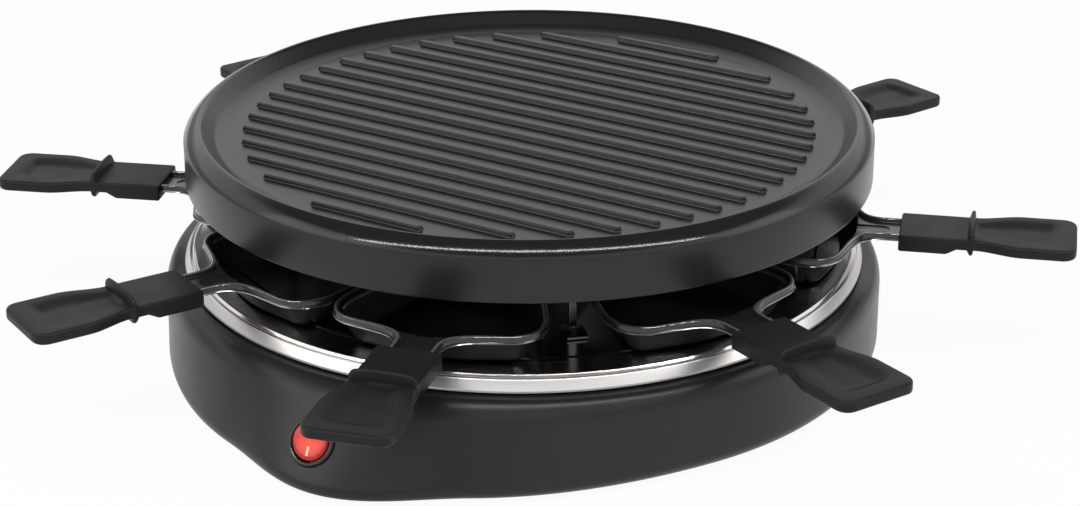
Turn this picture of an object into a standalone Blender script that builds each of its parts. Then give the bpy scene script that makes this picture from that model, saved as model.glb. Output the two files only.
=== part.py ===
"""Raclette grill: a round grill plate over eight pans on a bright steel tray in a black base.

Metres, +Z up. The origin is on the table under the middle of the grill plate. Azimuths are in degrees,
clockwise from +Y when seen from above, and the user stands at -Y.
"""

import math

import bmesh
import bpy
from mathutils import Matrix, Vector

# Gaps and cuts
FIT_GAP = 0.0003
CUT_OVERRUN = 0.003
MERGE_DISTANCE = 0.00001

# Grill plate
PLATE_RADIUS = 0.150
PLATE_SKIRT_DEPTH = 0.0245
PLATE_RIM_WIDTH = 0.0155
PLATE_RIM_RISE = 0.0068
PLATE_CREST_INSET = 0.0060
PLATE_THICKNESS = 0.0050
SKIRT_WALL = 0.0035
SKIRT_EDGE_RADIUS = 0.0012
RIB_COUNT = 19
RIB_MARGIN = 0.025
RIB_FIELD_SHARE = 0.97488
RIB_WIDTH = 0.0058
RIB_HEIGHT = 0.0018
RIB_DRAFT = 0.0010
RIB_HEADING = 122.5

# Base shell, turned about an axis a little left of the plate's
BASE_SHIFT = -0.0027
SHELL_RADIUS = 0.1578
SHELL_TOP = 0.0410
SHELL_WALL = 0.0025
SHELL_EDGE_WIDTH = 0.0048
SHELL_SHOULDER_DROP = 0.0085
SHELL_LEDGE_WIDTH = 0.0148
SHELL_FOOT_RADIUS = 0.0065
SHELL_LIP_HEIGHT = 0.0045
SHELL_LIFT = 0.0020
LOBE_AZIMUTH = -149.9
LOBE_SPREAD = 59.9
LOBE_REACH = 0.0151
NOSE_AZIMUTH = -153.1
NOSE_SPREAD = 19.5
NOSE_REACH = 0.0107

# Bottom cover, its screws and feet
COVER_THICKNESS = 0.0025
COVER_UNDERSIDE = 0.0030
COVER_SLOT_COUNT = 8
COVER_SLOT_LENGTH = 0.036
COVER_SLOT_WIDTH = 0.0032
COVER_SLOT_PITCH = 0.0085
SCREW_INSET = 0.0163
SCREW_FIRST_AZIMUTH = 45.0
SCREW_SHANK_RADIUS = 0.0017
SCREW_HEAD_RADIUS = 0.0034
SCREW_HEAD_HEIGHT = 0.0014
SCREW_LENGTH = 0.014
BOSS_RADIUS = 0.0046
FOOT_COUNT = 4
FOOT_INSET = 0.0398
FOOT_RADIUS = 0.0085
FOOT_EDGE = 0.0006

# Reflector tray
TRAY_SHEET = 0.0008
TRAY_FLOOR = 0.0479
TRAY_LIP_INSET = 0.0132
TRAY_LIP_RISE = 0.0003
TRAY_LIP_WIDTH = 0.0016
TRAY_GROOVE_DEPTH = 0.0007
TRAY_BAND_WIDTH = 0.0030
TRAY_BAND_DROP = 0.0046
TRAY_HEM = 0.0010

# Plate supports
POST_COUNT = 4
POST_FIRST_AZIMUTH = -11.0
SUPPORT_HEIGHT = 0.0447
POST_REACH = 0.0115
POST_THICKNESS = 0.0030
POST_DEPTH = 0.0040
POST_ARM_HEIGHT = 0.0016
POST_HOOK_RISE = 0.0045
POST_TAB_LENGTH = 0.0110
POST_TAB_HEIGHT = 0.0016
POST_FOOT_LENGTH = 0.0140
POST_FOOT_WIDTH = 0.0090
POST_FOOT_HEIGHT = 0.0012
RIVET_RADIUS = 0.0014
RIVET_HEAD_RADIUS = 0.0026
RIVET_HEAD_HEIGHT = 0.0010

# Heating element
HEATER_TUBE_RADIUS = 0.00325
HEATER_INSET = 0.058
HEATER_DROP = 0.0092
HEATER_LEG_SPACING = 0.026
HEATER_BEND = 0.012
HEATER_LEG_END = 0.0330
HEATER_GAP_AZIMUTH = 34.0
HEATER_ARC_STEP = 9.0
BUSH_FLANGE_RADIUS = 0.0075
BUSH_FLANGE_HEIGHT = 0.0022
BUSH_BODY_RADIUS = 0.0055
BUSH_LENGTH = 0.0110

# Pans: each one's azimuth and how far it is drawn out, and the dish, rim and neck
PAN_AZIMUTHS = (-163.2, -122.2, -80.0, -37.0, 11.0, 53.0, 101.3, 146.1)
PAN_SHIFTS = (-0.0015, 0.0017, 0.0027, 0.0, 0.0, 0.0020, -0.0005, -0.0020)
PAN_SHEET = 0.0012
PAN_INNER_END = 0.063
PAN_OVERHANG = 0.0059
PAN_FRONT_BOW = 0.0117
PAN_SIDE_LENGTH = 0.0183
PAN_SIDE_ANGLE = 20.31
PAN_CORNER_RADIUS = 0.015
PAN_INNER_RADIUS = 0.011
PAN_SIDE_RADIUS = 0.030
PAN_DEPTH = 0.0150
PAN_RIM_WIDTH = 0.0023
PAN_RIM_TURN = 0.0020
PAN_WALL_RUN = 0.0080
NECK_ROOT_HALF_WIDTH = 0.0240
NECK_WAIST_HALF_WIDTH = 0.0150
NECK_HALF_WIDTH = 0.0080
NECK_WAIST_LENGTH = 0.0055
NECK_LENGTH = 0.0145
NECK_DROP = 0.0013
TANG_LENGTH = 0.0185

# Pan handles
NECK_REACH = 0.0130
SLEEVE_LENGTH = 0.0298
SLEEVE_HALF_WIDTH = 0.0135
SLEEVE_HEIGHT = 0.0072
SLEEVE_RISE = 0.0010
SLEEVE_CHAMFER = 0.0007
SLEEVE_DEEP_LENGTH = 0.0205
SLEEVE_SLANT_LENGTH = 0.0042
GUARD_THICKNESS = 0.0018
GUARD_RISE = 0.0034
GUARD_DROP = 0.0008
GUARD_OVERHANG = 0.0012
GUARD_CORNER = 0.0034
PADDLE_LENGTH = 0.0433
PADDLE_HALF_WIDTH = 0.0183
PADDLE_THICKNESS = 0.0048
PADDLE_CORNER = 0.0062
PADDLE_FLARE_LENGTH = 0.0205
PADDLE_FLARE_SHARES = ((0.0, 0.0), (0.25, 0.18), (0.5, 0.5), (0.75, 0.82), (1.0, 1.0))
HANDLE_EDGE_RADIUS = 0.0012

# Switch in the nose of the base
SWITCH_AZIMUTH = -150.5
SWITCH_MARGIN = 0.0051
SWITCH_SEAT_DEPTH = 0.0016
BEZEL_RADIUS = 0.0104
BEZEL_THICKNESS = 0.0026
BARREL_RADIUS = 0.0093
BARREL_LENGTH = 0.0110
SWITCH_CAVITY_RADIUS = 0.0086
SWITCH_CAVITY_DEPTH = 0.0100
ROCKER_RADIUS = 0.0081
ROCKER_HEIGHT = 0.0040
ROCKER_RISE = 0.0012
ROCKER_TILT = 7.0
LAMP_RADIUS = 0.0016
LAMP_LENGTH = 0.0080
BLADE_COUNT = 3
BLADE_WIDTH = 0.0048
BLADE_THICKNESS = 0.0008
BLADE_LENGTH = 0.0080
BLADE_SPACING = 0.0050

# Inlet bush, terminal block, thermal cut-out and leads
GLAND_AZIMUTH = 0.0
GLAND_MARGIN = 0.0050
GLAND_BODY_RADIUS = 0.0060
GLAND_FLANGE_RADIUS = 0.0085
GLAND_FLANGE_THICKNESS = 0.0025
GLAND_BORE_RADIUS = 0.0036
GLAND_INNER_LENGTH = 0.0070
BLOCK_LENGTH = 0.0300
BLOCK_WIDTH = 0.0150
BLOCK_HEIGHT = 0.0120
BLOCK_INSET = 0.0458
BLOCK_EDGE = 0.0010
CUTOUT_RADIUS = 0.0080
CUTOUT_HEIGHT = 0.0085
CUTOUT_PLACE = 0.046
CUTOUT_AZIMUTH = -96.0
LEAD_RADIUS = 0.0012
LEAD_STUB = 0.0090
LEAD_LEVEL = 0.0120
LEAD_SPACING = 0.0070
LEAD_SAMPLES = 12

# Fineness of round shapes
WIDE_STEPS = 72
TRAY_STEPS = 60
MID_STEPS = 24
SMALL_STEPS = 16

RIB_REACH = PLATE_RADIUS - RIB_MARGIN
RIB_PITCH = RIB_REACH * RIB_FIELD_SHARE * 2 / (RIB_COUNT - 1)
POST_BOTTOM = TRAY_FLOOR + FIT_GAP
POST_TOP = POST_BOTTOM + SUPPORT_HEIGHT
PLATE_UNDERSIDE = POST_TOP + FIT_GAP
PLATE_FLAT = PLATE_UNDERSIDE + PLATE_THICKNESS
PLATE_TOP = PLATE_FLAT + PLATE_RIM_RISE
PLATE_EDGE = PLATE_TOP - PLATE_SKIRT_DEPTH
HEATER_CIRCLE = PLATE_RADIUS - HEATER_INSET
HEATER_HEIGHT = PLATE_UNDERSIDE - HEATER_DROP
POST_CIRCLE = HEATER_CIRCLE + POST_REACH
SCREW_CIRCLE = SHELL_RADIUS - SCREW_INSET
FOOT_CIRCLE = SHELL_RADIUS - FOOT_INSET
BLOCK_PLACE = SHELL_RADIUS - BLOCK_INSET
TRAY_LIP_RADIUS = SHELL_RADIUS - TRAY_LIP_INSET
COVER_TOP = COVER_UNDERSIDE + COVER_THICKNESS
SWITCH_HEIGHT = COVER_TOP + BEZEL_RADIUS + SWITCH_MARGIN
GLAND_HEIGHT = COVER_TOP + GLAND_FLANGE_RADIUS + GLAND_MARGIN
TRAY_UNDERSIDE = TRAY_FLOOR - TRAY_SHEET
PAN_UNDERSIDE = TRAY_FLOOR + TRAY_LIP_RISE + FIT_GAP
PAN_RIM = PAN_UNDERSIDE + PAN_DEPTH
TANG_TOP = PAN_RIM - NECK_DROP
PAN_FRONT_END = TRAY_LIP_RADIUS + PAN_OVERHANG
PAN_FRONT_CORNER = PAN_FRONT_END - PAN_FRONT_BOW
PAN_WIDE_START = PAN_FRONT_CORNER - PAN_SIDE_LENGTH
PAN_HALF_WIDTH = PAN_WIDE_START * math.tan(math.radians(PAN_SIDE_ANGLE))
PAN_INNER_HALF_WIDTH = PAN_INNER_END * math.tan(math.radians(PAN_SIDE_ANGLE))
HANDLE_START = PAN_FRONT_END + NECK_REACH
TANG_END = HANDLE_START + TANG_LENGTH
SLEEVE_TOP = PAN_RIM + SLEEVE_RISE
SHELL_LIP_RADIUS = SHELL_RADIUS - SHELL_FOOT_RADIUS - SHELL_WALL


def clear_scene():
    for obj in list(bpy.data.objects):
        bpy.data.objects.remove(obj, do_unlink=True)


def new_collection(name):
    collection = bpy.data.collections.new(name)
    bpy.context.scene.collection.children.link(collection)
    return collection


clear_scene()
PARTS = new_collection("raclette_grill")
CUTTERS = new_collection("cutters")


def finish(name, colour, roughness, metallic=0.0):
    """A plain material of one colour."""
    material = bpy.data.materials.new(name)
    material.use_nodes = True
    shader = material.node_tree.nodes["Principled BSDF"]
    shader.inputs["Base Color"].default_value = (*colour, 1.0)
    shader.inputs["Roughness"].default_value = roughness
    shader.inputs["Metallic"].default_value = metallic
    return material


PLATE_COATING = finish("plate_coating", (0.020, 0.019, 0.020), 0.45)
PAN_COATING = finish("pan_coating", (0.018, 0.019, 0.021), 0.22, 0.4)
HANDLE_PLASTIC = finish("handle_plastic", (0.022, 0.021, 0.022), 0.55)
SHELL_PLASTIC = finish("shell_plastic", (0.025, 0.025, 0.026), 0.50)
COVER_PLASTIC = finish("cover_plastic", (0.030, 0.030, 0.031), 0.60)
POLISHED_STEEL = finish("polished_steel", (0.66, 0.65, 0.64), 0.16, 1.0)
POST_STEEL = finish("post_steel", (0.62, 0.61, 0.60), 0.25, 1.0)
HEATER_STEEL = finish("heater_steel", (0.16, 0.15, 0.14), 0.45, 1.0)
CERAMIC = finish("ceramic", (0.80, 0.78, 0.72), 0.40)
RUBBER = finish("rubber", (0.030, 0.030, 0.030), 0.80)
SCREW_STEEL = finish("screw_steel", (0.55, 0.55, 0.56), 0.30, 1.0)
BEZEL_PLASTIC = finish("bezel_plastic", (0.012, 0.012, 0.013), 0.30)
ROCKER_RED = finish("rocker_red", (0.72, 0.04, 0.02), 0.22)
LAMP_GLASS = finish("lamp_glass", (0.85, 0.45, 0.25), 0.10)
BRASS = finish("brass", (0.72, 0.55, 0.26), 0.30, 1.0)
BLOCK_NYLON = finish("block_nylon", (0.82, 0.80, 0.74), 0.50)
CUTOUT_CASE = finish("cutout_case", (0.10, 0.06, 0.04), 0.45)
LEAD_SLEEVING = finish("lead_sleeving", (0.70, 0.67, 0.60), 0.60)


def new_empty(name, location, heading=0.0, parent=None):
    """An axis that parts hang from, turned clockwise by its heading."""
    empty = bpy.data.objects.new(name, None)
    empty.location = location
    empty.rotation_euler.z = -math.radians(heading)
    empty.parent = parent
    PARTS.objects.link(empty)
    return empty


def new_object(name, mesh, material, parent=None, matrix=None):
    obj = bpy.data.objects.new(name, mesh)
    if material and material.name not in mesh.materials:
        mesh.materials.append(material)
    obj.parent = parent
    if matrix is not None:
        obj.matrix_local = matrix
    PARTS.objects.link(obj)
    return obj


def new_cutter(name, mesh, parent=None, matrix=None):
    cutter = bpy.data.objects.new(name, mesh)
    cutter.parent = parent
    if matrix is not None:
        cutter.matrix_local = matrix
    cutter.hide_render = True
    cutter.display_type = "WIRE"
    CUTTERS.objects.link(cutter)
    return cutter


def combine(target, other, operation="DIFFERENCE"):
    step = target.modifiers.new(other.name, "BOOLEAN")
    step.operation = operation
    step.solver = "EXACT"
    step.object = other


def merge_flats(target):
    """Joins the facets that a turned flat is cut into."""
    step = target.modifiers.new("merge_flats", "DECIMATE")
    step.decimate_type = "DISSOLVE"
    step.angle_limit = math.radians(0.2)


def mesh_of(bm, name, outward=True):
    if outward:
        bmesh.ops.recalc_face_normals(bm, faces=bm.faces)
    mesh = bpy.data.meshes.new(name)
    bm.to_mesh(mesh)
    bm.free()
    mesh.shade_smooth()
    mesh.set_sharp_from_angle(angle=math.radians(35))
    return mesh


def place_at(azimuth, radius, z=0.0):
    angle = math.radians(azimuth)
    return Vector((radius * math.sin(angle), radius * math.cos(angle), z))


def turned_to(azimuth):
    """The turn that carries +Y to this azimuth."""
    return Matrix.Rotation(-math.radians(azimuth), 4, "Z")


def add_box(bm, low, high):
    low, high = Vector(low), Vector(high)
    size = Matrix.Diagonal((*(high - low), 1.0))
    bmesh.ops.create_cube(bm, size=1.0, matrix=Matrix.Translation((low + high) / 2) @ size)


def add_cylinder(bm, radius, bottom, top, centre=(0.0, 0.0), steps=SMALL_STEPS):
    place = Matrix.Translation((*centre, (bottom + top) / 2))
    bmesh.ops.create_cone(
        bm, cap_ends=True, segments=steps, radius1=radius, radius2=radius, depth=top - bottom, matrix=place
    )


def turned(name, profile, steps, material, parent=None, matrix=None):
    """A turned part: its profile runs down the outer side, from axis to axis or round in a loop."""
    mesh = bpy.data.meshes.new(name)
    edges = [(i, i + 1) for i in range(len(profile) - 1)]
    if profile[0][0] > 0:
        edges.append((len(profile) - 1, 0))
    mesh.from_pydata([(radius, 0.0, z) for radius, z in profile], edges, [])
    obj = new_object(name, mesh, material, parent, matrix)
    add_screw(obj, steps)
    return obj


def add_screw(obj, steps):
    screw = obj.modifiers.new("turn", "SCREW")
    screw.axis = "Z"
    screw.steps = steps
    screw.render_steps = steps
    screw.use_merge_vertices = True
    screw.merge_threshold = MERGE_DISTANCE


def loft(rings, name, closed=False, caps=(True, True)):
    """A skin over rings of equally many points. A closed one joins its last ring to its first."""
    bm = bmesh.new()
    rows = [[bm.verts.new(point) for point in ring] for ring in rings]
    count = len(rows[0])
    pairs = list(zip(rows, rows[1:]))
    if closed:
        pairs.append((rows[-1], rows[0]))
    for lower, upper in pairs:
        for i in range(count):
            j = (i + 1) % count
            bm.faces.new((lower[i], lower[j], upper[j], upper[i]))
    if not closed and caps[0]:
        bm.faces.new(rows[0][::-1])
    if not closed and caps[1]:
        bm.faces.new(rows[-1])
    return mesh_of(bm, name)


def arc(centre, radius, start, end, steps):
    """Points round a centre in a plane, from one angle to another, in degrees."""
    turn = [math.radians(start + (end - start) * i / steps) for i in range(steps + 1)]
    return [(centre[0] + radius * math.cos(t), centre[1] + radius * math.sin(t)) for t in turn]


def rounded_corner(before, corner, after, radius, steps):
    """The arc that rounds one corner of a path, in two or three dimensions."""
    before, corner, after = Vector(before), Vector(corner), Vector(after)
    towards = (before - corner).normalized()
    away = (after - corner).normalized()
    half = towards.angle(away) / 2
    setback = radius / math.tan(half)
    centre = corner + (towards + away).normalized() * (radius / math.sin(half))
    first = corner + towards * setback - centre
    last = corner + away * setback - centre
    points = []
    for i in range(steps + 1):
        share = i / steps
        sweep = first.angle(last)
        a = math.sin((1 - share) * sweep) / math.sin(sweep)
        b = math.sin(share * sweep) / math.sin(sweep)
        points.append(centre + first * a + last * b)
    return points


def rounded_outline(corners):
    """A closed outline through corners given as (x, y, radius, steps)."""
    outline = []
    for i, (x, y, radius, steps) in enumerate(corners):
        before, after = corners[i - 1], corners[(i + 1) % len(corners)]
        outline += rounded_corner(before[:2], (x, y), after[:2], radius, steps)
    return [tuple(point) for point in outline]


def tube(name, points, radius, material, parent=None):
    """A round bar or lead along these points, as a curve with filled caps."""
    curve = bpy.data.curves.new(name, "CURVE")
    curve.dimensions = "3D"
    curve.bevel_depth = radius
    curve.bevel_resolution = 2
    curve.use_fill_caps = True
    spline = curve.splines.new("POLY")
    spline.points.add(len(points) - 1)
    for knot, point in zip(spline.points, points):
        knot.co = (*point, 1.0)
    curve.materials.append(material)
    obj = bpy.data.objects.new(name, curve)
    obj.parent = parent
    PARTS.objects.link(obj)
    return obj


def smooth_route(knots, samples):
    """A straight first and last stretch, and between them points read evenly from a smooth curve."""
    points = [knots[0]]
    for i in range(samples + 1):
        place = i / samples * (len(knots) - 3)
        k = min(int(place), len(knots) - 4)
        t = place - k
        a, b, c, d = knots[k : k + 4]
        line = 2 * b + (c - a) * t + (2 * a - 5 * b + 4 * c - d) * t**2 + (3 * b - a - 3 * c + d) * t**3
        points.append(line / 2)
    return [*points, knots[-1]]


def bump(share):
    """A smooth hump: 1 in its middle, falling to 0 at shares -1 and 1."""
    return 0.5 + 0.5 * math.cos(math.pi * min(abs(share), 1.0))


def turn_between(azimuth, other):
    return (azimuth - other + 180) % 360 - 180


def lobe(azimuth, z):
    """How far the base stands out beyond its round form: nothing at its top edge, most at its foot."""
    growth = max((SHELL_TOP - z) / (SHELL_TOP - SHELL_LIFT), 0.0)
    broad = LOBE_REACH * bump(turn_between(azimuth, LOBE_AZIMUTH) / LOBE_SPREAD)
    nose = NOSE_REACH * bump(turn_between(azimuth, NOSE_AZIMUTH) / NOSE_SPREAD)
    return growth * (broad + nose)


def base_ring(radius, z, lobe_z=None):
    """A level ring round the base axis that follows the lobe, as it is there or at another height."""
    azimuths = [360 * i / WIDE_STEPS for i in range(WIDE_STEPS)]
    follow = z if lobe_z is None else lobe_z
    return [place_at(azimuth, radius + lobe(azimuth, follow), z) for azimuth in azimuths]


def shell_profile():
    """The wall's section as (radius, height), from the foot up the outside and down the inside."""
    edge = SHELL_RADIUS - SHELL_EDGE_WIDTH
    shoulder = SHELL_TOP - SHELL_SHOULDER_DROP
    ledge = edge - SHELL_LEDGE_WIDTH
    under = SHELL_TOP - SHELL_WALL
    foot_centre = (SHELL_RADIUS - SHELL_FOOT_RADIUS, SHELL_LIFT + SHELL_FOOT_RADIUS)
    profile = arc(foot_centre, SHELL_FOOT_RADIUS, -90, 0, 4)
    steps = 4
    for i in range(steps + 1):
        turn = math.radians(90 * i / steps)
        radius = edge + SHELL_EDGE_WIDTH * math.cos(turn)
        profile.append((radius, shoulder + SHELL_SHOULDER_DROP * math.sin(turn)))
    profile.append((ledge, SHELL_TOP))
    profile.append((ledge, under))
    profile.append((edge - SHELL_WALL, under))
    profile.append((SHELL_RADIUS - SHELL_WALL, shoulder))
    profile.append((SHELL_RADIUS - SHELL_WALL, SHELL_LIFT + SHELL_FOOT_RADIUS + SHELL_WALL))
    profile.append((SHELL_LIP_RADIUS, SHELL_LIFT + SHELL_LIP_HEIGHT))
    profile.append((SHELL_LIP_RADIUS, SHELL_LIFT))
    return profile


def screw_places():
    return [place_at(SCREW_FIRST_AZIMUTH + 90 * i, SCREW_CIRCLE) for i in range(4)]


def switch_matrix():
    """The switch's own frame on the nose: +Z out of the wall, +X level, origin on the wall's face."""
    step = SHELL_WALL
    radius = SHELL_RADIUS + lobe(SWITCH_AZIMUTH, SWITCH_HEIGHT)
    above = lobe(SWITCH_AZIMUTH, SWITCH_HEIGHT + step)
    below = lobe(SWITCH_AZIMUTH, SWITCH_HEIGHT - step)
    slope = (above - below) / (2 * step)
    outward = place_at(SWITCH_AZIMUTH, 1.0, -slope).normalized()
    level = place_at(SWITCH_AZIMUTH - 90, 1.0)
    upward = outward.cross(level)
    turn = Matrix((level, upward, outward)).transposed().to_4x4()
    return Matrix.Translation(place_at(SWITCH_AZIMUTH, radius, SWITCH_HEIGHT)) @ turn


def gland_matrix():
    """The inlet's own frame: +Z straight out of the wall."""
    tilt = Matrix.Rotation(-math.pi / 2, 4, "X")
    place = Matrix.Translation(place_at(GLAND_AZIMUTH, SHELL_RADIUS, GLAND_HEIGHT))
    return place @ turned_to(GLAND_AZIMUTH) @ tilt


def make_grill_plate(parent):
    flat_radius = PLATE_RADIUS - PLATE_RIM_WIDTH
    crest_radius = PLATE_RADIUS - PLATE_CREST_INSET
    inner = PLATE_RADIUS - SKIRT_WALL
    shoulder = PLATE_TOP - PLATE_CREST_INSET * 1.2
    profile = [(0.0, PLATE_FLAT), (flat_radius, PLATE_FLAT)]
    for share in (0.35, 0.70, 1.0):
        rise = PLATE_RIM_RISE * math.sin(math.pi / 2 * share)
        profile.append((flat_radius + (crest_radius - flat_radius) * share, PLATE_FLAT + rise))
    for turn in (30, 60, 90):
        angle = math.radians(turn)
        radius = crest_radius + PLATE_CREST_INSET * math.sin(angle)
        profile.append((radius, shoulder + (PLATE_TOP - shoulder) * math.cos(angle)))
    profile.append((PLATE_RADIUS, PLATE_EDGE + SKIRT_EDGE_RADIUS))
    profile.append((PLATE_RADIUS - SKIRT_EDGE_RADIUS, PLATE_EDGE))
    profile.append((inner, PLATE_EDGE))
    profile.append((inner, PLATE_UNDERSIDE + PLATE_THICKNESS / 4))
    profile.append((inner - PLATE_THICKNESS, PLATE_UNDERSIDE))
    profile.append((0.0, PLATE_UNDERSIDE))
    plate = turned("grill_plate", profile, WIDE_STEPS, PLATE_COATING, parent)
    combine(plate, make_ribs(), "UNION")
    merge_flats(plate)


def make_ribs():
    """Parallel round-ended bars whose ends lie on one circle, each narrower at its top."""
    bm = bmesh.new()
    heading = turned_to(RIB_HEADING)
    for i in range(RIB_COUNT):
        offset = (i - (RIB_COUNT - 1) / 2) * RIB_PITCH
        half_length = math.sqrt(RIB_REACH**2 - offset**2)
        rings = []
        for z, draft in ((PLATE_FLAT - PLATE_THICKNESS / 2, 0.0), (PLATE_FLAT + RIB_HEIGHT, RIB_DRAFT)):
            radius = RIB_WIDTH / 2 - draft
            outline = arc((offset, half_length - RIB_WIDTH / 2), radius, 0, 180, 5)
            outline += arc((offset, RIB_WIDTH / 2 - half_length), radius, 180, 360, 5)
            rings.append([bm.verts.new(heading @ Vector((x, y, z))) for x, y in outline])
        count = len(rings[0])
        for k in range(count):
            j = (k + 1) % count
            bm.faces.new((rings[0][k], rings[0][j], rings[1][j], rings[1][k]))
        bm.faces.new(rings[0][::-1])
        bm.faces.new(rings[1])
    return new_cutter("ribs", mesh_of(bm, "ribs"))


def make_base_shell(parent):
    rings = [base_ring(radius, z) for radius, z in shell_profile()]
    shell = new_object("base_shell", loft(rings, "base_shell", closed=True), SHELL_PLASTIC, parent)
    boss_bottom = COVER_TOP + FIT_GAP
    bosses = bmesh.new()
    for place in screw_places():
        add_cylinder(bosses, BOSS_RADIUS, boss_bottom, SHELL_TOP - SHELL_WALL / 2, place.xy)
    combine(shell, new_cutter("bosses", mesh_of(bosses, "bosses"), parent), "UNION")
    holes = bmesh.new()
    for place in screw_places():
        top = COVER_UNDERSIDE + SCREW_LENGTH + FIT_GAP
        add_cylinder(holes, SCREW_SHANK_RADIUS + FIT_GAP, boss_bottom - CUT_OVERRUN, top, place.xy)
    combine(shell, new_cutter("boss_holes", mesh_of(holes, "boss_holes"), parent))
    seat = bmesh.new()
    add_cylinder(seat, BEZEL_RADIUS + FIT_GAP, -SWITCH_SEAT_DEPTH, CUT_OVERRUN, steps=MID_STEPS)
    combine(shell, new_cutter("switch_seat", mesh_of(seat, "switch_seat"), parent, switch_matrix()))
    hole = bmesh.new()
    depth = SWITCH_SEAT_DEPTH + BARREL_LENGTH + CUT_OVERRUN
    add_cylinder(hole, BARREL_RADIUS + FIT_GAP, -depth, CUT_OVERRUN, steps=MID_STEPS)
    combine(shell, new_cutter("switch_hole", mesh_of(hole, "switch_hole"), parent, switch_matrix()))
    inlet = bmesh.new()
    depth = SHELL_WALL + CUT_OVERRUN
    add_cylinder(inlet, GLAND_BODY_RADIUS + FIT_GAP, -depth, CUT_OVERRUN, steps=MID_STEPS)
    combine(shell, new_cutter("inlet_hole", mesh_of(inlet, "inlet_hole"), parent, gland_matrix()))


def make_bottom_cover(parent):
    lip_top = SHELL_LIFT + SHELL_LIP_HEIGHT
    rings = [base_ring(SHELL_LIP_RADIUS - FIT_GAP, z, lip_top) for z in (COVER_UNDERSIDE, COVER_TOP)]
    cover = new_object("bottom_cover", loft(rings, "bottom_cover"), COVER_PLASTIC, parent)
    low = COVER_UNDERSIDE - CUT_OVERRUN
    high = COVER_TOP + CUT_OVERRUN
    holes = bmesh.new()
    for place in screw_places():
        add_cylinder(holes, SCREW_SHANK_RADIUS + FIT_GAP, low, high, place.xy)
    for i in range(COVER_SLOT_COUNT):
        middle = (i - (COVER_SLOT_COUNT - 1) / 2) * COVER_SLOT_PITCH
        half = COVER_SLOT_WIDTH / 2
        end = COVER_SLOT_LENGTH / 2
        add_box(holes, (-end, middle - half, low), (end, middle + half, high))
    combine(cover, new_cutter("cover_holes", mesh_of(holes, "cover_holes"), parent))


def make_cover_screws(parent):
    head_top = COVER_UNDERSIDE - FIT_GAP
    head_bottom = head_top - SCREW_HEAD_HEIGHT
    tip = COVER_UNDERSIDE + SCREW_LENGTH
    profile = [
        (0.0, tip),
        (SCREW_SHANK_RADIUS / 2, tip),
        (SCREW_SHANK_RADIUS, tip - SCREW_SHANK_RADIUS),
        (SCREW_SHANK_RADIUS, head_top),
        (SCREW_HEAD_RADIUS, head_top),
        (SCREW_HEAD_RADIUS, head_top - SCREW_HEAD_HEIGHT / 2),
        (SCREW_HEAD_RADIUS * 0.7, head_bottom),
        (0.0, head_bottom),
    ]
    for i, place in enumerate(screw_places()):
        turned(f"cover_screw_{i + 1}", profile, 12, SCREW_STEEL, parent, Matrix.Translation(place))


def make_feet(parent):
    top = COVER_UNDERSIDE - FIT_GAP
    profile = [
        (0.0, top),
        (FOOT_RADIUS, top),
        (FOOT_RADIUS, FOOT_EDGE),
        (FOOT_RADIUS - FOOT_EDGE, 0.0),
        (0.0, 0.0),
    ]
    for i in range(FOOT_COUNT):
        place = place_at(SCREW_FIRST_AZIMUTH + 360 / FOOT_COUNT * i, FOOT_CIRCLE)
        turned(f"foot_{i + 1}", profile, MID_STEPS, RUBBER, parent, Matrix.Translation(place))


def tray_profile():
    """The sheet's upper face from the middle out: floor, raised lip, groove, sloping band and hem."""
    crest = TRAY_FLOOR + TRAY_LIP_RISE
    groove = TRAY_LIP_RADIUS + TRAY_LIP_WIDTH
    band_start = groove + TRAY_LIP_WIDTH / 4
    band_top = TRAY_FLOOR - TRAY_GROOVE_DEPTH / 2
    band_end = band_start + TRAY_BAND_WIDTH
    return [
        (0.0, TRAY_FLOOR),
        (TRAY_LIP_RADIUS - TRAY_LIP_WIDTH, TRAY_FLOOR),
        (TRAY_LIP_RADIUS - TRAY_LIP_WIDTH / 2, crest),
        (TRAY_LIP_RADIUS + TRAY_LIP_WIDTH / 2, crest),
        (groove, TRAY_FLOOR - TRAY_GROOVE_DEPTH),
        (band_start, band_top),
        (band_end, band_top - TRAY_BAND_DROP),
        (band_end, band_top - TRAY_BAND_DROP - TRAY_HEM),
    ]


def post_places():
    return [POST_FIRST_AZIMUTH + 360 / POST_COUNT * i for i in range(POST_COUNT)]


def rivet_place(azimuth):
    return place_at(azimuth, POST_CIRCLE + POST_DEPTH / 2 + RIVET_HEAD_RADIUS + FIT_GAP)


def make_tray(parent):
    mesh = bpy.data.meshes.new("reflector_tray")
    profile = tray_profile()
    edges = [(i, i + 1) for i in range(len(profile) - 1)]
    mesh.from_pydata([(radius, 0.0, z) for radius, z in profile], edges, [])
    tray = new_object("reflector_tray", mesh, POLISHED_STEEL, parent)
    add_screw(tray, TRAY_STEPS)
    sheet = tray.modifiers.new("sheet", "SOLIDIFY")
    sheet.thickness = TRAY_SHEET
    sheet.offset = -1.0
    low = TRAY_UNDERSIDE - CUT_OVERRUN
    high = TRAY_FLOOR + CUT_OVERRUN
    holes = bmesh.new()
    for azimuth in post_places():
        add_cylinder(holes, RIVET_RADIUS + FIT_GAP, low, high, rivet_place(azimuth).xy, 12)
    for place in leg_places():
        add_cylinder(holes, BUSH_BODY_RADIUS + FIT_GAP, low, high, place.xy, MID_STEPS)
    combine(tray, new_cutter("tray_holes", mesh_of(holes, "tray_holes"), parent))
    merge_flats(tray)


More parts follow.
